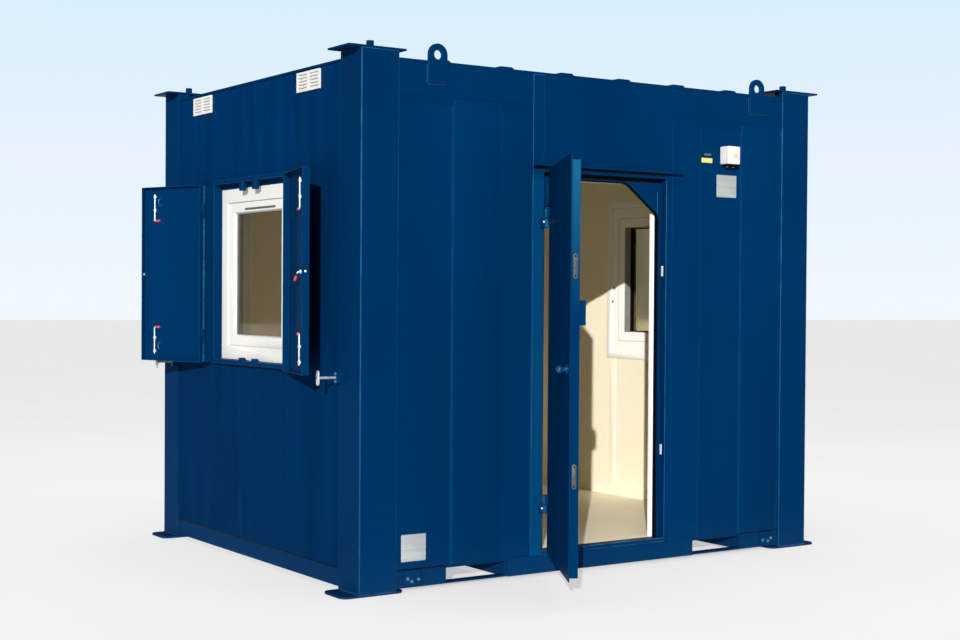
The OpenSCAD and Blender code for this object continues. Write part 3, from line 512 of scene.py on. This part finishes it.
# Nodes that are carried over as they are
plain = {"floor_joists": "paint", "floor_deck": "vinyl", "ceiling_lining": "cream",
         "front_lining_sides": "cream", "front_lining_over_door": "cream", "back_lining": "cream",
         "end_linings": "cream", "window_glass": "glass"}
for node, look in plain.items():
    for place in frame["nodes"][node].material_slots:
        place.material = finish[look]
print("folded copies made", len(pieces))


# A domed rivet or screw head, a six-sided bolt head on its washer, both standing on a face
def rivet(place, face, radius, height):
    dome = [(radius, 0), (radius * 0.92, height * 0.5), (radius * 0.6, height * 0.88), (radius * 0.1, height)]
    return skin(onFace(turnedRings(dome, 16), place, face))


def boltHead(place, face, across, height):
    r = across / 2
    washer = turnedRings([(r * 1.45, 0), (r * 1.45, height * 0.2), (r * 1.3, height * 0.3)], 24)
    head = turnedRings([(r, 0), (r, height * 0.85), (r * 0.8, height)], 6)
    return [skin(onFace(rings, place, face)) for rings in (washer, head)]


# Four rivets round a place on a face, each the same distance across and up from it
def fourRivets(place, face, across, rise, radius, height):
    u, v = np.array(faceAxes[face], float)
    return [rivet(place + sx * across * u + sz * rise * v, face, radius, height)
            for sx in (-1, 1) for sz in (-1, 1)]


# A plate lying on a face: width, height, corner radius, thickness and rounding of its edge
def plateOn(place, face, *size):
    return skin(onFace(plateRings(*size), place, face))


def turnedOn(place, face, profile, steps=24):
    return skin(onFace(turnedRings(profile, steps), place, face))


# Bare data plates, a plain yellow tag and a small grey one, each lying on the front wall sheet
wallFace = nodeBox("front_wall_left")[0][1] + 6
plates = {"data": [(310, 216.5, 142, 133), (2364.5, 2081.5, 149, 125)], "thick": 1.2, "rivetIn": 9,
          "rivet": (3.2, 1.6), "tag": (2216, 2220, 80, 26), "small": (2220, 2253, 50, 11)}
parts = []
for x, z, w, h in plates["data"]:
    parts.append(plateOn((x, wallFace, z), "front", w, h, 4, plates["thick"], 0.5))
    parts += fourRivets((x, wallFace - plates["thick"], z), "front", w / 2 - plates["rivetIn"],
                        h / 2 - plates["rivetIn"], *plates["rivet"])
addPiece("data_plates", parts, "brushed")
for name, key, look in (("plain_tag", "tag", "yellow"), ("small_tag", "small", "grey")):
    x, z, w, h = plates[key]
    addPiece(name, [plateOn((x, wallFace, z), "front", w, h, 2.5, 1.0, 0.4)], look)
print("plates made")

# Power inlet: a blue backing plate, a white box with a lid and four screws, an amber cover, and under the box
# a dark strip that also paints the shade under the box, and two dark glands with pale plugs
inlet = {"margin": 16, "plate": 4, "lid": 20, "seam": 2, "boltOut": 8, "screwIn": 11, "glandX": 23,
         "cover": (32, 20, 5, 3, 2), "coverAt": (10, -2), "stripIn": 14}
low, high = nodeBox("power_inlet_box")
inletX, _, inletZ = (low + high) / 2
backWide, depth, backTall = high - low
boxWide, boxTall = backWide - 2 * inlet["margin"], backTall - 2 * inlet["margin"]
ground = (inletX, high[1] - inlet["plate"], inletZ)
parts = [plateOn((inletX, high[1], inletZ), "front", backWide, backTall, 5, inlet["plate"], 1.5)]
parts += fourRivets(ground, "front", boxWide / 2 + inlet["boltOut"], boxTall / 2 + inlet["boltOut"], 4, 2.5)
addPiece("inlet_backing", parts, "paint")
shellDeep = depth - inlet["lid"] - inlet["seam"] - inlet["plate"]
parts = [plateOn(ground, "front", boxWide, boxTall, 8, shellDeep, 1),
         plateOn(ground, "front", boxWide - 5, boxTall - 5, 6, depth - 8, 1),
         plateOn((inletX, low[1] + inlet["lid"], inletZ), "front", boxWide, boxTall, 8, inlet["lid"], 5)]
parts += fourRivets((inletX, low[1], inletZ), "front", boxWide / 2 - inlet["screwIn"],
                    boxTall / 2 - inlet["screwIn"], 4, 1.5)
addPiece("inlet_box", parts, "dustyWhite", nodes=["power_inlet_box"])
coverAt = (inletX + inlet["coverAt"][0], low[1], inletZ + inlet["coverAt"][1])
addPiece("inlet_cover", [plateOn(coverAt, "front", *inlet["cover"])], "amber")
underY, underZ = low[1] + depth / 2, low[2] + inlet["margin"]
glandAt = [(inletX + side * inlet["glandX"], underY, underZ) for side in (-1, 1)]
# The dark strip under the box is a sealing strip that also paints the shade falling there
parts = [plateOn((inletX, underY, underZ), "bottom", boxWide - inlet["stripIn"],
                 depth - inlet["stripIn"], 4, 7, 2)]
for place in glandAt:
    parts += [turnedOn(place, "bottom", [(11, 0), (11, 9), (9, 10), (9, 14)], 20),
              turnedOn(place, "bottom", [(13.5, 0), (13.5, 6), (12.5, 7)], 6)]
addPiece("inlet_glands", parts, "rubber")
parts = [turnedOn(place, "bottom", [(7, 13), (7, 15), (5, 16)], 20) for place in glandAt]
addPiece("inlet_plugs", parts, "nylon")
print("power inlet made")

# Doorway: the rubber seal round the stop and its gussets, white trims on the lining's edges, folds on the
# lock jamb, near-black strips at the head and under the drip rail that paint the shadows there, and keeps in
# the rebate whose near-white zinc paints their glint
jambEdge, lockEdge = nodeBox("door_hinge_jamb")[1][0], nodeBox("door_lock_jamb")[0][0]
deckTop = nodeBox("floor_deck")[1][2]
headLow = nodeBox("front_lining_over_door")[0][2]
doorway = {"stopFace": 42, "gusset": (220, 165), "bend": 30, "sealFront": 5, "sealLip": 2, "sealWide": 6,
           "sealDeep": 12, "trim": (36, 10, 3, 1.5), "trimY": 84, "trimOver": 14, "rebate": 32,
           "headPast": 56, "headUp": 22, "dripShort": 110, "keepZ": (618, 1598), "keepY": 33,
           "keep": (15, 56, 3, 1.2, 0.4), "keepScrew": 24}
gussetW, gussetH = doorway["gusset"]
stopY, gussetLow = doorway["stopFace"], headLow - gussetH
sealPath = softPath([(jambEdge, 0, deckTop), (jambEdge, 0, gussetLow), (jambEdge + gussetW, 0, headLow),
                     (lockEdge - gussetW, 0, headLow), (lockEdge, 0, gussetLow), (lockEdge, 0, deckTop)],
                    doorway["bend"])
lip, wide, front = doorway["sealLip"], doorway["sealWide"], doorway["sealFront"] - stopY
back = -stopY - doorway["sealDeep"]
sealSection = [(-lip, back), (0, back), (0, -stopY), (wide, -stopY), (wide, front - 2), (wide - 2, front),
               (2 - lip, front), (-lip, front - 2)]
addPiece("door_seal", [skin(sweptRings(sealPath, sealSection, (0, -1, 0)))], "rubber")
trimTop = gussetLow + doorway["trimOver"]
trimWide, *trimRest = doorway["trim"]
trimSize = (trimWide, trimTop - deckTop, *trimRest)
trimZ = (deckTop + trimTop) / 2
addPiece("doorway_trims", [plateOn((lockEdge, doorway["trimY"], trimZ), "left", *trimSize),
                           plateOn((jambEdge, doorway["trimY"], trimZ), "right", *trimSize)],
         "brightenedWhite")
# The faces in the rebate are darkened: painted shade in the recess
finishSpan("door_lock_jamb", "rebateShade", lockEdge - 1, lockEdge + doorway["rebate"] + 1)
# The rolled fold along the lock jamb's outer corner and the weld beside the corner plate, in painted
# highlight
overLow = nodeBox("front_wall_over_door")[0]
foldX, foldY, foldR = lockEdge + doorway["rebate"] + 2.5, nodeBox("door_lock_jamb")[0][1] + 2.5, 3
parts = [turnedOn((foldX, foldY, deckTop + 2), "top", [(foldR, 0), (foldR, overLow[2] - deckTop - 3)], 12),
         turnedOn((lockEdge + 1, stopY - 0.5, gussetLow + 12), "top",
                  [(2, 0), (2.5, 4), (2.5, gussetH - 52), (2, gussetH - 48)], 10)]
addPiece("lock_jamb_folds", parts, "cornerHighlight")
# A near-black strip on the stop under the head paints the shadow that falls there
headShadowStrip = (lockEdge - jambEdge + doorway["headPast"], 18, 2, 2, 0.5)
parts = [plateOn((middleX, stopY, headLow + doorway["headUp"]), "front", *headShadowStrip)]
addPiece("head_shadow_strip", parts, "rubber")
railLow, railHigh = nodeBox("drip_rail")
# A near-black strip under the drip rail paints the rail's shadow
dripSize = (railHigh[0] - railLow[0] - doorway["dripShort"], 14, 2, 2, 0.5)
dripAt = (railLow[0] + dripSize[0] / 2, overLow[1], railLow[2] - dripSize[1] / 2)
addPiece("drip_shadow_strip", [plateOn(dripAt, "front", *dripSize)], "paintedShadow")
keepX = lockEdge + doorway["rebate"]
parts = []
for z in doorway["keepZ"]:
    parts.append(plateOn((keepX, doorway["keepY"], z), "left", *doorway["keep"]))
    parts += [rivet((keepX - doorway["keep"][3], doorway["keepY"], z + side * doorway["keepScrew"]), "left",
                    3, 0.7) for side in (-1, 1)]
addPiece("lock_keeps", parts, "glintZinc")
print("doorway made")

# Door: faceplates with a latch and two screws on its free edge, studs on the hinge straps, barrel sleeves
# with a painted highlight, and screws on the lock box
door = {"edge": 1909, "edgeY": 12.5, "plateZ": (618, 1598), "plate": (22, 118, 10.8, 2, 0.8),
        "hingeZ": (330, 1810), "stud": (1068, -24, 30), "lock": (1815, 68, 1380), "lockScrew": (48, 47)}
face, latch, screws = [], [], []
for z in door["plateZ"]:
    front = (door["edge"] + 2, door["edgeY"], z)
    face.append(plateOn((door["edge"], door["edgeY"], z), "right", *door["plate"]))
    latch.append(plateOn(front, "right", 12, 30, 3, 3, 2))
    screws += [rivet((front[0], front[1], z + side * 46), "right", 4.5, 1.2) for side in (-1, 1)]
addPiece("door_faceplates", opened(face, "door_swing"), "steel", "door", ["door_lock_plates"])
addPiece("door_latches", opened(latch, "door_swing"), "steel", "door")
addPiece("door_plate_screws", opened(screws, "door_swing"), "rubber", "door")
# Studs on the hinge straps, near white to paint the glint of light on them
addPiece("hinge_studs", [rivet((door["stud"][0], door["stud"][1], z + door["stud"][2]), "front", 5.5, 4)
                         for z in door["hingeZ"]], "glintZinc")
# Sleeves with a painted highlight round the barrels: the lower halves belong to the cabin, the upper to the
# door
sleeve = [(10.5, 2), (11.6, 3), (11.6, 46), (10.5, 47)]
barrelX, barrelY, _ = pivotOf("door_swing")
leafReach = door["edge"] - barrelX
# The door leaf's free edge takes a painted sky reflection
finishSpan("door_leaf", "leafEdgeReflection", leafReach - 2, leafReach + 8, (barrelX, barrelY))
for name, rise, body in (("lower_barrels", 0, "cabin"), ("upper_barrels", 51, "door")):
    parts = [turnedOn((barrelX, barrelY, z + rise), "top", sleeve, 24) for z in door["hingeZ"]]
    addPiece(name, parts, "cornerHighlight", body)
parts = fourRivets(door["lock"], "back", *door["lockScrew"], 5, 2.5)
addPiece("lock_box_screws", opened(parts, "door_swing"), "glossPaint", "door")
print("door fittings made")

# Base: cleats with bolts beside the posts, and a near-black strip under the wall sheets painting the shadow
# where the rail is set back
cleats = {"at": (302.5, 67.5), "size": (97, 79), "thick": 12, "bolts": ((274, 67), (298, 52), (337, 60)),
          "bolt": (12, 8)}
railFace = nodeBox("end_base_rails")[0][0]
cleatX, cleatZ = cleats["at"]
cleat = [plateOn((cleatX, railFace, cleatZ), "front", *cleats["size"], 6, cleats["thick"], 1.5)]
heads = [part for x, z in cleats["bolts"]
         for part in boltHead((x, railFace - cleats["thick"], z), "front", *cleats["bolt"])]
addPiece("base_cleats", bothSides(bothEnds(cleat)), "paint")
addPiece("cleat_bolts", bothSides(bothEnds(heads)), "boltChipsAndGlints")
seam = {"from": 212, "to": 497, "z": 111, "size": (8, 1, 3, 1)}
seamAt = ((seam["from"] + seam["to"]) / 2, railFace, seam["z"])
seams = bothSides([plateOn(seamAt, "front", seam["to"] - seam["from"], *seam["size"])])
seams.append(plateOn((railFace, middleY, seam["z"]), "left", cabinSize[1] - 2 * seam["from"], *seam["size"]))
addPiece("base_shadow_strips", bothEnds(seams), "paintedShadow")


# A weld bead: a bar along a path whose radius swells and falls with the length run and tapers at its ends
def weldBead(path, radius, ripple, pitch):
    path = np.asarray(path, float)
    steps = np.r_[0, np.cumsum(np.linalg.norm(np.diff(path, axis=0), axis=1))]
    run = np.linspace(0, steps[-1], int(steps[-1] / pitch * 5) + 2)
    line = np.column_stack([np.interp(run, steps, path[:, i]) for i in range(3)])
    taper = np.minimum(1, np.minimum(run, run[-1] - run) / (2 * radius) + 0.3)
    return skin(barRings(line, radius * taper + ripple * np.sin(2 * np.pi * run / pitch), 8))


eyeLow = nodeBox("lifting_eyes")[0]
eyeWide = 110
eyeX = (eyeLow[0], eyeLow[0] + eyeWide)
roofZ = nodeBox("roof_sheet")[0][2]
parts = [weldBead([(x, -1, eyeLow[2] + 4), (x, -1, roofZ - 4)], 5, 0.7, 6) for x in eyeX]
parts.append(weldBead([(x, -1, eyeLow[2]) for x in eyeX], 4.5, 0.7, 6))
footTop = nodeBox("foot_plates")[1][2]
parts.append(weldBead([(0, 208, footTop), (0, 0, footTop), (208, 0, footTop)], 3.5, 0.5, 7))
addPiece("weld_beads", bothSides(bothEnds(parts)), "glossPaint")
# Painted filler under the top rails, from the rail's lower edge down to the sheet that is set back behind it
filler = {"z": nodeBox("front_top_rail")[0][2], "deep": 8.2, "tall": 45}
filled = [(0, 0), (filler["deep"], 0), (filler["deep"], -filler["tall"])]
spans = [[nodeBox(node)[i][0] for i in (0, 1)] for node in ("front_wall_left", "front_wall_right")]
parts = [skin(sweptRings([(start, 0, filler["z"]), (end, 0, filler["z"])], filled, (0, 0, 1)))
         for start, end in spans]
addPiece("rail_fillers", bothSides(parts), "paint")
print("base and welds made")

# Shutter furniture, drawn on the closed near leaf's inner face: two slide bolts on blue plates, and a lever
bolts = {"thick": 36, "skin": 4, "reach": 507, "nearIn": 178, "farIn": 88, "plate": (30, 110, 4, 3, 0.8),
         "rod": 5, "long": 160, "handle": 44, "grip": 7.5, "loop": (40, 46), "leverZ": 1570}
hinge = pivotOf("near_shutter_swing")
leafFace = hinge[0] - bolts["thick"] / 2 + bolts["skin"]
freeEdge = hinge[1] + bolts["reach"]
boltLow, boltHigh = (corner[2] for corner in nodeBox("near_shutter_bolts"))
rodX = leafFace + bolts["plate"][3] + bolts["rod"]


# One bolt at the leaf's upper edge: a rod bent to a handle on the hinge side, two bridges over it, and the
# loop that holds the handle when the bolt is drawn
def slideBolt(y):
    low = boltHigh - bolts["long"]
    corner = (rodX, y, low + bolts["rod"])
    rodPath = softPath([(rodX, y, boltHigh), corner, (rodX, y - bolts["handle"], low + bolts["rod"])], 8)
    metal = [skin(barRings(rodPath, bolts["rod"]))]
    bend = np.linspace(0, np.pi, 13)
    arch = np.column_stack([9 * np.sin(bend) + 2 * (np.abs(np.cos(bend)) < 0.99), 9 * np.cos(bend), 0 * bend])
    ground, strap = leafFace + bolts["plate"][3], [(-1.2, -7), (1.2, -7), (1.2, 7), (-1.2, 7)]
    for z in (boltHigh - 16, boltHigh - bolts["plate"][1] + 16):
        metal.append(skin(sweptRings(arch + [ground, y, z], strap, (0, 0, 1))))
    aside, below = bolts["loop"]
    ring = np.column_stack([16 * np.sin(bend), 0 * bend, 20 * np.cos(bend)])
    loop = [skin(barRings(ring + [leafFace, y - aside, boltHigh - below], 2.6, 8))]
    end, radius = bolts["handle"], bolts["grip"]
    gripPath = [(rodX, y - s, low + bolts["rod"]) for s in (12, 14, 26, 40, end + 1, end + 2)]
    grip = [skin(barRings(gripPath, np.array([5.5, 0.95 * radius, radius, radius, 6, 3])))]
    plate = [plateOn((leafFace, y, boltHigh - bolts["plate"][1] / 2), "right", *bolts["plate"])]
    return metal, grip, plate, loop


def bothBolts(y):
    flip = (boltLow + boltHigh) / 2
    return [parts + mirrored(parts, 2, flip) for parts in slideBolt(y)]


nearMetal, nearGrip, nearPlate, nearLoop = bothBolts(freeEdge - bolts["nearIn"])
farMetal, farGrip, farPlate, farLoop = bothBolts(freeEdge - bolts["farIn"])
nearPlate += nearLoop
leverAt = np.array([leafFace, freeEdge - bolts["nearIn"], bolts["leverZ"]])
lever = leverAt + softPath([(4, 0, 0), (18, 0, -2), (30, -8, -44)], 8)
nearMetal += [turnedOn(leverAt, "right", [(11, 0), (11, 6), (9, 9), (4, 10)], 20),
              skin(barRings(lever[:-1], 4)), rivet((hinge[0], freeEdge, bolts["leverZ"]), "back", 6, 2)]
leverGrip = [lever[-1] + s * (lever[-2] - lever[-1]) for s in (0.7, 0.65, 0.3, 0.05, -0.05)]
nearGrip.append(skin(barRings(leverGrip, np.array([4.5, 7, 7.5, 7, 4]))))
farMetal.append(rivet((hinge[0], freeEdge - bolts["skin"], bolts["leverZ"]), "front", 8, 5))
nearParts = [opened(parts, "near_shutter_swing") for parts in (nearMetal, nearGrip, nearPlate)]
*farParts, farRest = [opened(mirrored(parts, 1, middleY), "far_shutter_swing")
                      for parts in (farMetal, farGrip, farPlate, farLoop)]
# The far leaf's loops take the same pale specks, painting the glints of light on them
addPiece("far_leaf_loops", farRest, "boltChipsAndGlints", "far_leaf")
rightParts = [mirrored(near + far, 0, middleX) for near, far in zip(nearParts, farParts)]
for side, body, (metal, grip, plate) in (("near", "near_leaf", nearParts), ("far", "far_leaf", farParts),
                                         ("right", "cabin", rightParts)):
    boltNode = side + "_shutter_bolts"
    addPiece(side + "_leaf_furniture", metal, "zinc", body, [boltNode])
    addPiece(side + "_leaf_grips", grip, "red", body)
    addPiece(side + "_leaf_plates", plate, "paint", body)
# Continuous shutter hinges: round knuckles on the hinge line beside the two hinges, and webs to the wall
knuckles = {"in": 110, "long": 80, "radius": 8, "pitch": 58, "web": (-39.5, 8), "thick": 8}
leafLow, leafHigh = (corner[2] for corner in nodeBox("near_shutter"))
inner = knuckles["in"] + knuckles["long"]
runs = [(leafLow + 4, leafLow + knuckles["in"]), (leafLow + inner, leafHigh - inner),
        (leafHigh - knuckles["in"], leafHigh - 4)]
parts = []
for start, end in runs:
    cuts = np.linspace(start, end, max(1, round((end - start) / knuckles["pitch"])) + 1)
    long, radius = cuts[1] - cuts[0], knuckles["radius"]
    turned = [(radius - 1, 1), (radius, 2), (radius, long - 2), (radius - 1, long - 1)]
    parts += [turnedOn((hinge[0], hinge[1], z), "top", turned, 16) for z in cuts[:-1]]
# The knuckles take the fold highlight finish: a painted highlight along the hinge line
addPiece("hinge_knuckles", bothSides(bothEnds(parts)), "foldHighlight")
webLow, webHigh = knuckles["web"]
web = plateOn(((webLow + webHigh) / 2, hinge[1] + knuckles["thick"] / 2, (leafLow + leafHigh) / 2), "front",
              webHigh - webLow, leafHigh - leafLow - 4, 1.5, knuckles["thick"], 1)
addPiece("hinge_webs", bothSides(bothEnds([web])), "paint")
print("shutter furniture made")

# Shutter catches: a blue bracket with two bolts, a bright stem with a collar, and an oval turn plate with a
# dark centre
catchLow, catchHigh = nodeBox("shutter_catches")
catches = {"y": 190, "bracket": (36, 60, 8, 30, 5), "out": 125, "plate": (26, 74, 12.9, 6, 2)}
catchZ = (catchLow[2] + catchHigh[2]) / 2
out, proud = catches["out"], catches["bracket"][3]
foot, tip = (0, catches["y"], catchZ), (-out - catches["plate"][3], catches["y"], catchZ)
bracket = [plateOn(foot, "left", *catches["bracket"])]
heads = [part for side in (-1, 1)
         for part in boltHead((-proud, catches["y"], catchZ + side * 19), "left", 12, 6)]
turn = [turnedOn(foot, "left", [(6.5, proud - 2), (6.5, out - 8), (9, out - 6), (9, out)], 20),
        plateOn((-out, catches["y"], catchZ), "left", *catches["plate"]),
        turnedOn(tip, "left", [(8.5, 0), (8.5, 1.5), (7, 2.4), (5.2, 2.4), (5.2, 0.4)], 20)]
centre = [turnedOn(tip, "left", [(5.2, 0), (5.2, 1.2), (3, 1.4)], 16)]
addPiece("catch_brackets", bothSides(bothEnds(bracket)), "paint")
addPiece("catch_bolts", bothSides(bothEnds(heads)), "boltChipsAndGlints")
addPiece("catch_turns", bothSides(bothEnds(turn)), "zinc", "cabin", ["shutter_catches"])
addPiece("catch_centres", bothSides(bothEnds(centre)), "rubber")
print("catches made")

# Windows: white beads round the glass, a pale gasket round the sash, a grey insert in the trickle slot, and
# on the room side a reveal, a joint round the sash, an architrave, a handle and two stays
window = {"open": (856, 949), "z": 1093, "frame": 75, "sash": 56, "glass": 53, "sashFace": 33, "room": 150,
          "slot": (1173, 1926, 384, 9, 1, 3, 0.5), "slotDeep": 8, "stays": ((1603, 1513), (1622, 1423))}
windowZ = window["z"] + window["open"][1] / 2
sashW, sashH = (side - 2 * window["frame"] for side in window["open"])
paneW, paneH = sashW - 2 * window["sash"], sashH - 2 * window["sash"]


# A ring swept round the window as seen from outside the left end: section numbers run inwards and outwards
def windowRing(width, height, depth, section, face="left"):
    loop = np.array([(-1, -1, 0), (1, -1, 0), (1, 1, 0), (-1, 1, 0)]) * [width / 2, height / 2, 0]
    rings = sweptRings(loop, section, (0, 0, 1), closed=True)
    return skin(onFace(rings, (depth, middleY, windowZ), face), joined=True)


bead = windowRing(paneW, paneH, window["glass"], [(-1, 0), (5, 0), (5, 5), (4, 10), (2, 13), (-1, 14)])
addPiece("glazing_beads", bothEnds([bead]), "white")
gasket = [windowRing(paneW - 10, paneH - 10, window["glass"], [(-1, 0), (3, 0), (2, 2), (-1, 3.5)]),
          windowRing(sashW, sashH, window["sashFace"], [(0, 0), (4, 0), (4, 1.2), (0, 1.2)])]
addPiece("window_gaskets", bothEnds(gasket), "paleGasket")
# The reveal on the room side: dull next to the room, dark next to the glass, and the joint round the sash
for name, look, near, deep in (("window_reveals", "dullGasket", 0, 46), ("reveal_gaskets", "rubber", 46, 77)):
    liner = windowRing(paneW, paneH, window["room"] - 1, [(0, near), (2.5, near), (2.5, deep), (0, deep)])
    addPiece(name, bothEnds([liner]), look)
sashJoint = windowRing(sashW + 12, sashH + 12, window["room"] + 1, [(0, 0), (3, 0), (3, 2), (0, 2)])
addPiece("sash_joints", bothEnds([sashJoint]), "paleGasket")
slotY, slotZ, *slotSize = window["slot"]
insert = [plateOn((window["sashFace"] + window["slotDeep"], slotY, slotZ), "left", *slotSize)]
addPiece("trickle_inserts", bothEnds(insert), "grey")
moulding = [(-48, 0), (0, 0), (0, 5), (-4, 8), (-42, 8), (-48, 4)]
architrave = windowRing(*window["open"], window["room"], moulding, "right")
addPiece("window_architraves", bothEnds([architrave]), "brightenedWhite")
handleY = middleY - sashW / 2 + 28
handle = [plateOn((window["room"], handleY, windowZ), "right", 26, 110, 8, 8, 3),
          turnedOn((window["room"] + 8, handleY, windowZ + 22), "right", [(10, 0), (10, 26), (8, 30)], 20),
          plateOn((window["room"] + 26, handleY, windowZ - 30), "right", 20, 120, 9, 13, 5)]
addPiece("sash_handles", bothEnds(handle), "brightenedWhite")
stays = [rivet((window["room"], y, z), "right", 9, 7) for y, z in window["stays"]]
addPiece("window_stays", bothEnds(stays), "grey")
print("windows made")

# Room: strips over the board joints of the back wall and ceiling, a flat cable cover under each window and a
# low skirting
room = {"end": 150, "side": 102, "strip": (34, 3), "stripX": (900, middleX, 2100), "skirt": (50, 10),
        "cover": (1612, 60, 4), "ceiling": nodeBox("ceiling_lining")[0][2]}
roomTall = room["ceiling"] - deckTop
roomZ = deckTop + roomTall / 2
stripWide, stripThick = room["strip"]
parts = [plateOn((x, cabinSize[1] - room["side"], roomZ), "front", stripWide, roomTall, 1.5, stripThick, 1)
         for x in room["stripX"]]
across = cabinSize[1] - 2 * room["side"] - 8
parts += [plateOn((x, middleY, room["ceiling"]), "bottom", stripWide, across, 1.5, stripThick, 1)
          for x in room["stripX"]]
addPiece("lining_strips", parts, "cream")
coverY, coverWide, coverThick = room["cover"]
coverTop = window["z"] - 50
cover = plateOn((room["end"], coverY, (deckTop + coverTop) / 2), "right", coverWide, coverTop - deckTop, 3,
                coverThick, 2)
addPiece("cable_covers", bothEnds([cover]), "cream")
skirtTall, skirtThick = room["skirt"]
skirt = [(0, 0), (skirtThick, 0), (skirtThick, skirtTall - 8), (skirtThick - 5, skirtTall), (0, skirtTall)]
farX, farY = cabinSize[0] - room["end"], cabinSize[1] - room["side"]
walk = [(lockEdge + 6, room["side"]), (farX, room["side"]), (farX, farY), (room["end"], farY),
        (room["end"], room["side"]), (jambEdge - 6, room["side"])]
addPiece("skirting", [skin(sweptRings(np.c_[walk, np.full(len(walk), deckTop)], skirt, (0, 0, 1)))], "cream")
print("room made")

# Vent screws: one near each corner of every vent
vents = {"y": 547, "size": (245, 100), "screwIn": (9, 8)}
ventLow, ventHigh = nodeBox("air_vents")
ventZ = (ventLow[2] + ventHigh[2]) / 2
screwY, screwZ = (side / 2 - inset for side, inset in zip(vents["size"], vents["screwIn"]))
parts = fourRivets((ventLow[0], vents["y"], ventZ), "left", screwY, screwZ, 3.5, 1.5)
addPiece("vent_screws", bothSides(bothEnds(parts)), "nylon")
print("vents made")


# Studio: a pale floor that ends at the height of the photograph's skyline, a low key light from the front
# left, a soft overhead light and a pale surround
def addStudio():
    studio = {"skyline": 320, "past": 200, "behind": 240.0, "sink": 0.001, "heading": (0.632, 0.775),
              "rise": 15.4, "sun": 5.0, "spread": 0.5, "sunColour": "#FFFCF6", "soft": 300.0,
              "softSize": (9.0, 8.0), "softAt": (1.4, 0.6, 9.0), "low": "#F0F7FD", "high": "#D8EEFC",
              "top": 0.19, "shade": "#EEF2F6", "fill": 0.25}
    ahead = np.array(cameraAxes(cameraFit)[2]) * [1, 1, 0] * studio["behind"]
    far = [groundPoint(cameraFit, x, studio["skyline"])
           for x in (-studio["past"], cameraFit["image"][0] + studio["past"])]
    aside = 3 * (far[1] - far[0])
    near = [far[1] + aside - ahead, far[0] - aside - ahead]
    mesh = bpy.data.meshes.new("studio_floor")
    corners = np.array([far[0], near[1], near[0], far[1]]) * [1, 1, 0] - [0, 0, studio["sink"]]
    mesh.from_pydata(corners.tolist(), [], [(0, 1, 2, 3)])
    mesh.materials.append(finish["floor"])
    floor = bpy.data.objects.new("studio_floor", mesh)
    scene.collection.objects.link(floor)
    sun = bpy.data.lights.new("key_light", "SUN")
    sun.energy, sun.angle = studio["sun"], math.radians(studio["spread"])
    sun.color = hexLinear(studio["sunColour"])[:3]
    lamp = bpy.data.objects.new("key_light", sun)
    heading = math.atan2(-studio["heading"][0], studio["heading"][1])
    lamp.rotation_euler = (math.radians(90 - studio["rise"]), 0, heading)
    scene.collection.objects.link(lamp)
    soft = bpy.data.lights.new("overhead_light", "AREA")
    soft.shape, soft.energy, (soft.size, soft.size_y) = "RECTANGLE", studio["soft"], studio["softSize"]
    over = bpy.data.objects.new("overhead_light", soft)
    over.location = studio["softAt"]
    scene.collection.objects.link(over)
    world = bpy.data.worlds.new("studio_surround")
    world.use_nodes = True
    scene.world = world
    tree = world.node_tree
    tree.nodes.clear()
    place = addNode(tree, "ShaderNodeTexCoord").outputs["Generated"]
    rise = addNode(tree, "ShaderNodeSeparateXYZ", None, {"Vector": place}).outputs["Z"]
    share = addNode(tree, "ShaderNodeMapRange", {"From Max": studio["top"]}, {"Value": rise})
    ends = {"data_type": "RGBA", 6: hexLinear(studio["low"]), 7: hexLinear(studio["high"])}
    tint = addNode(tree, "ShaderNodeMix", ends, {0: share}).outputs[2]
    shown = addNode(tree, "ShaderNodeBackground", {"Strength": 1.0}, {"Color": tint})
    lit = addNode(tree, "ShaderNodeBackground",
                  {"Strength": studio["fill"], "Color": hexLinear(studio["shade"])})
    ray = addNode(tree, "ShaderNodeLightPath").outputs["Is Camera Ray"]
    both = addNode(tree, "ShaderNodeMixShader", None, {0: ray, 1: lit, 2: shown})
    addNode(tree, "ShaderNodeOutputWorld", None, {"Surface": both})
    scene.view_settings.view_transform = "Standard"


addStudio()
print("studio lit, pieces", len(pieces))
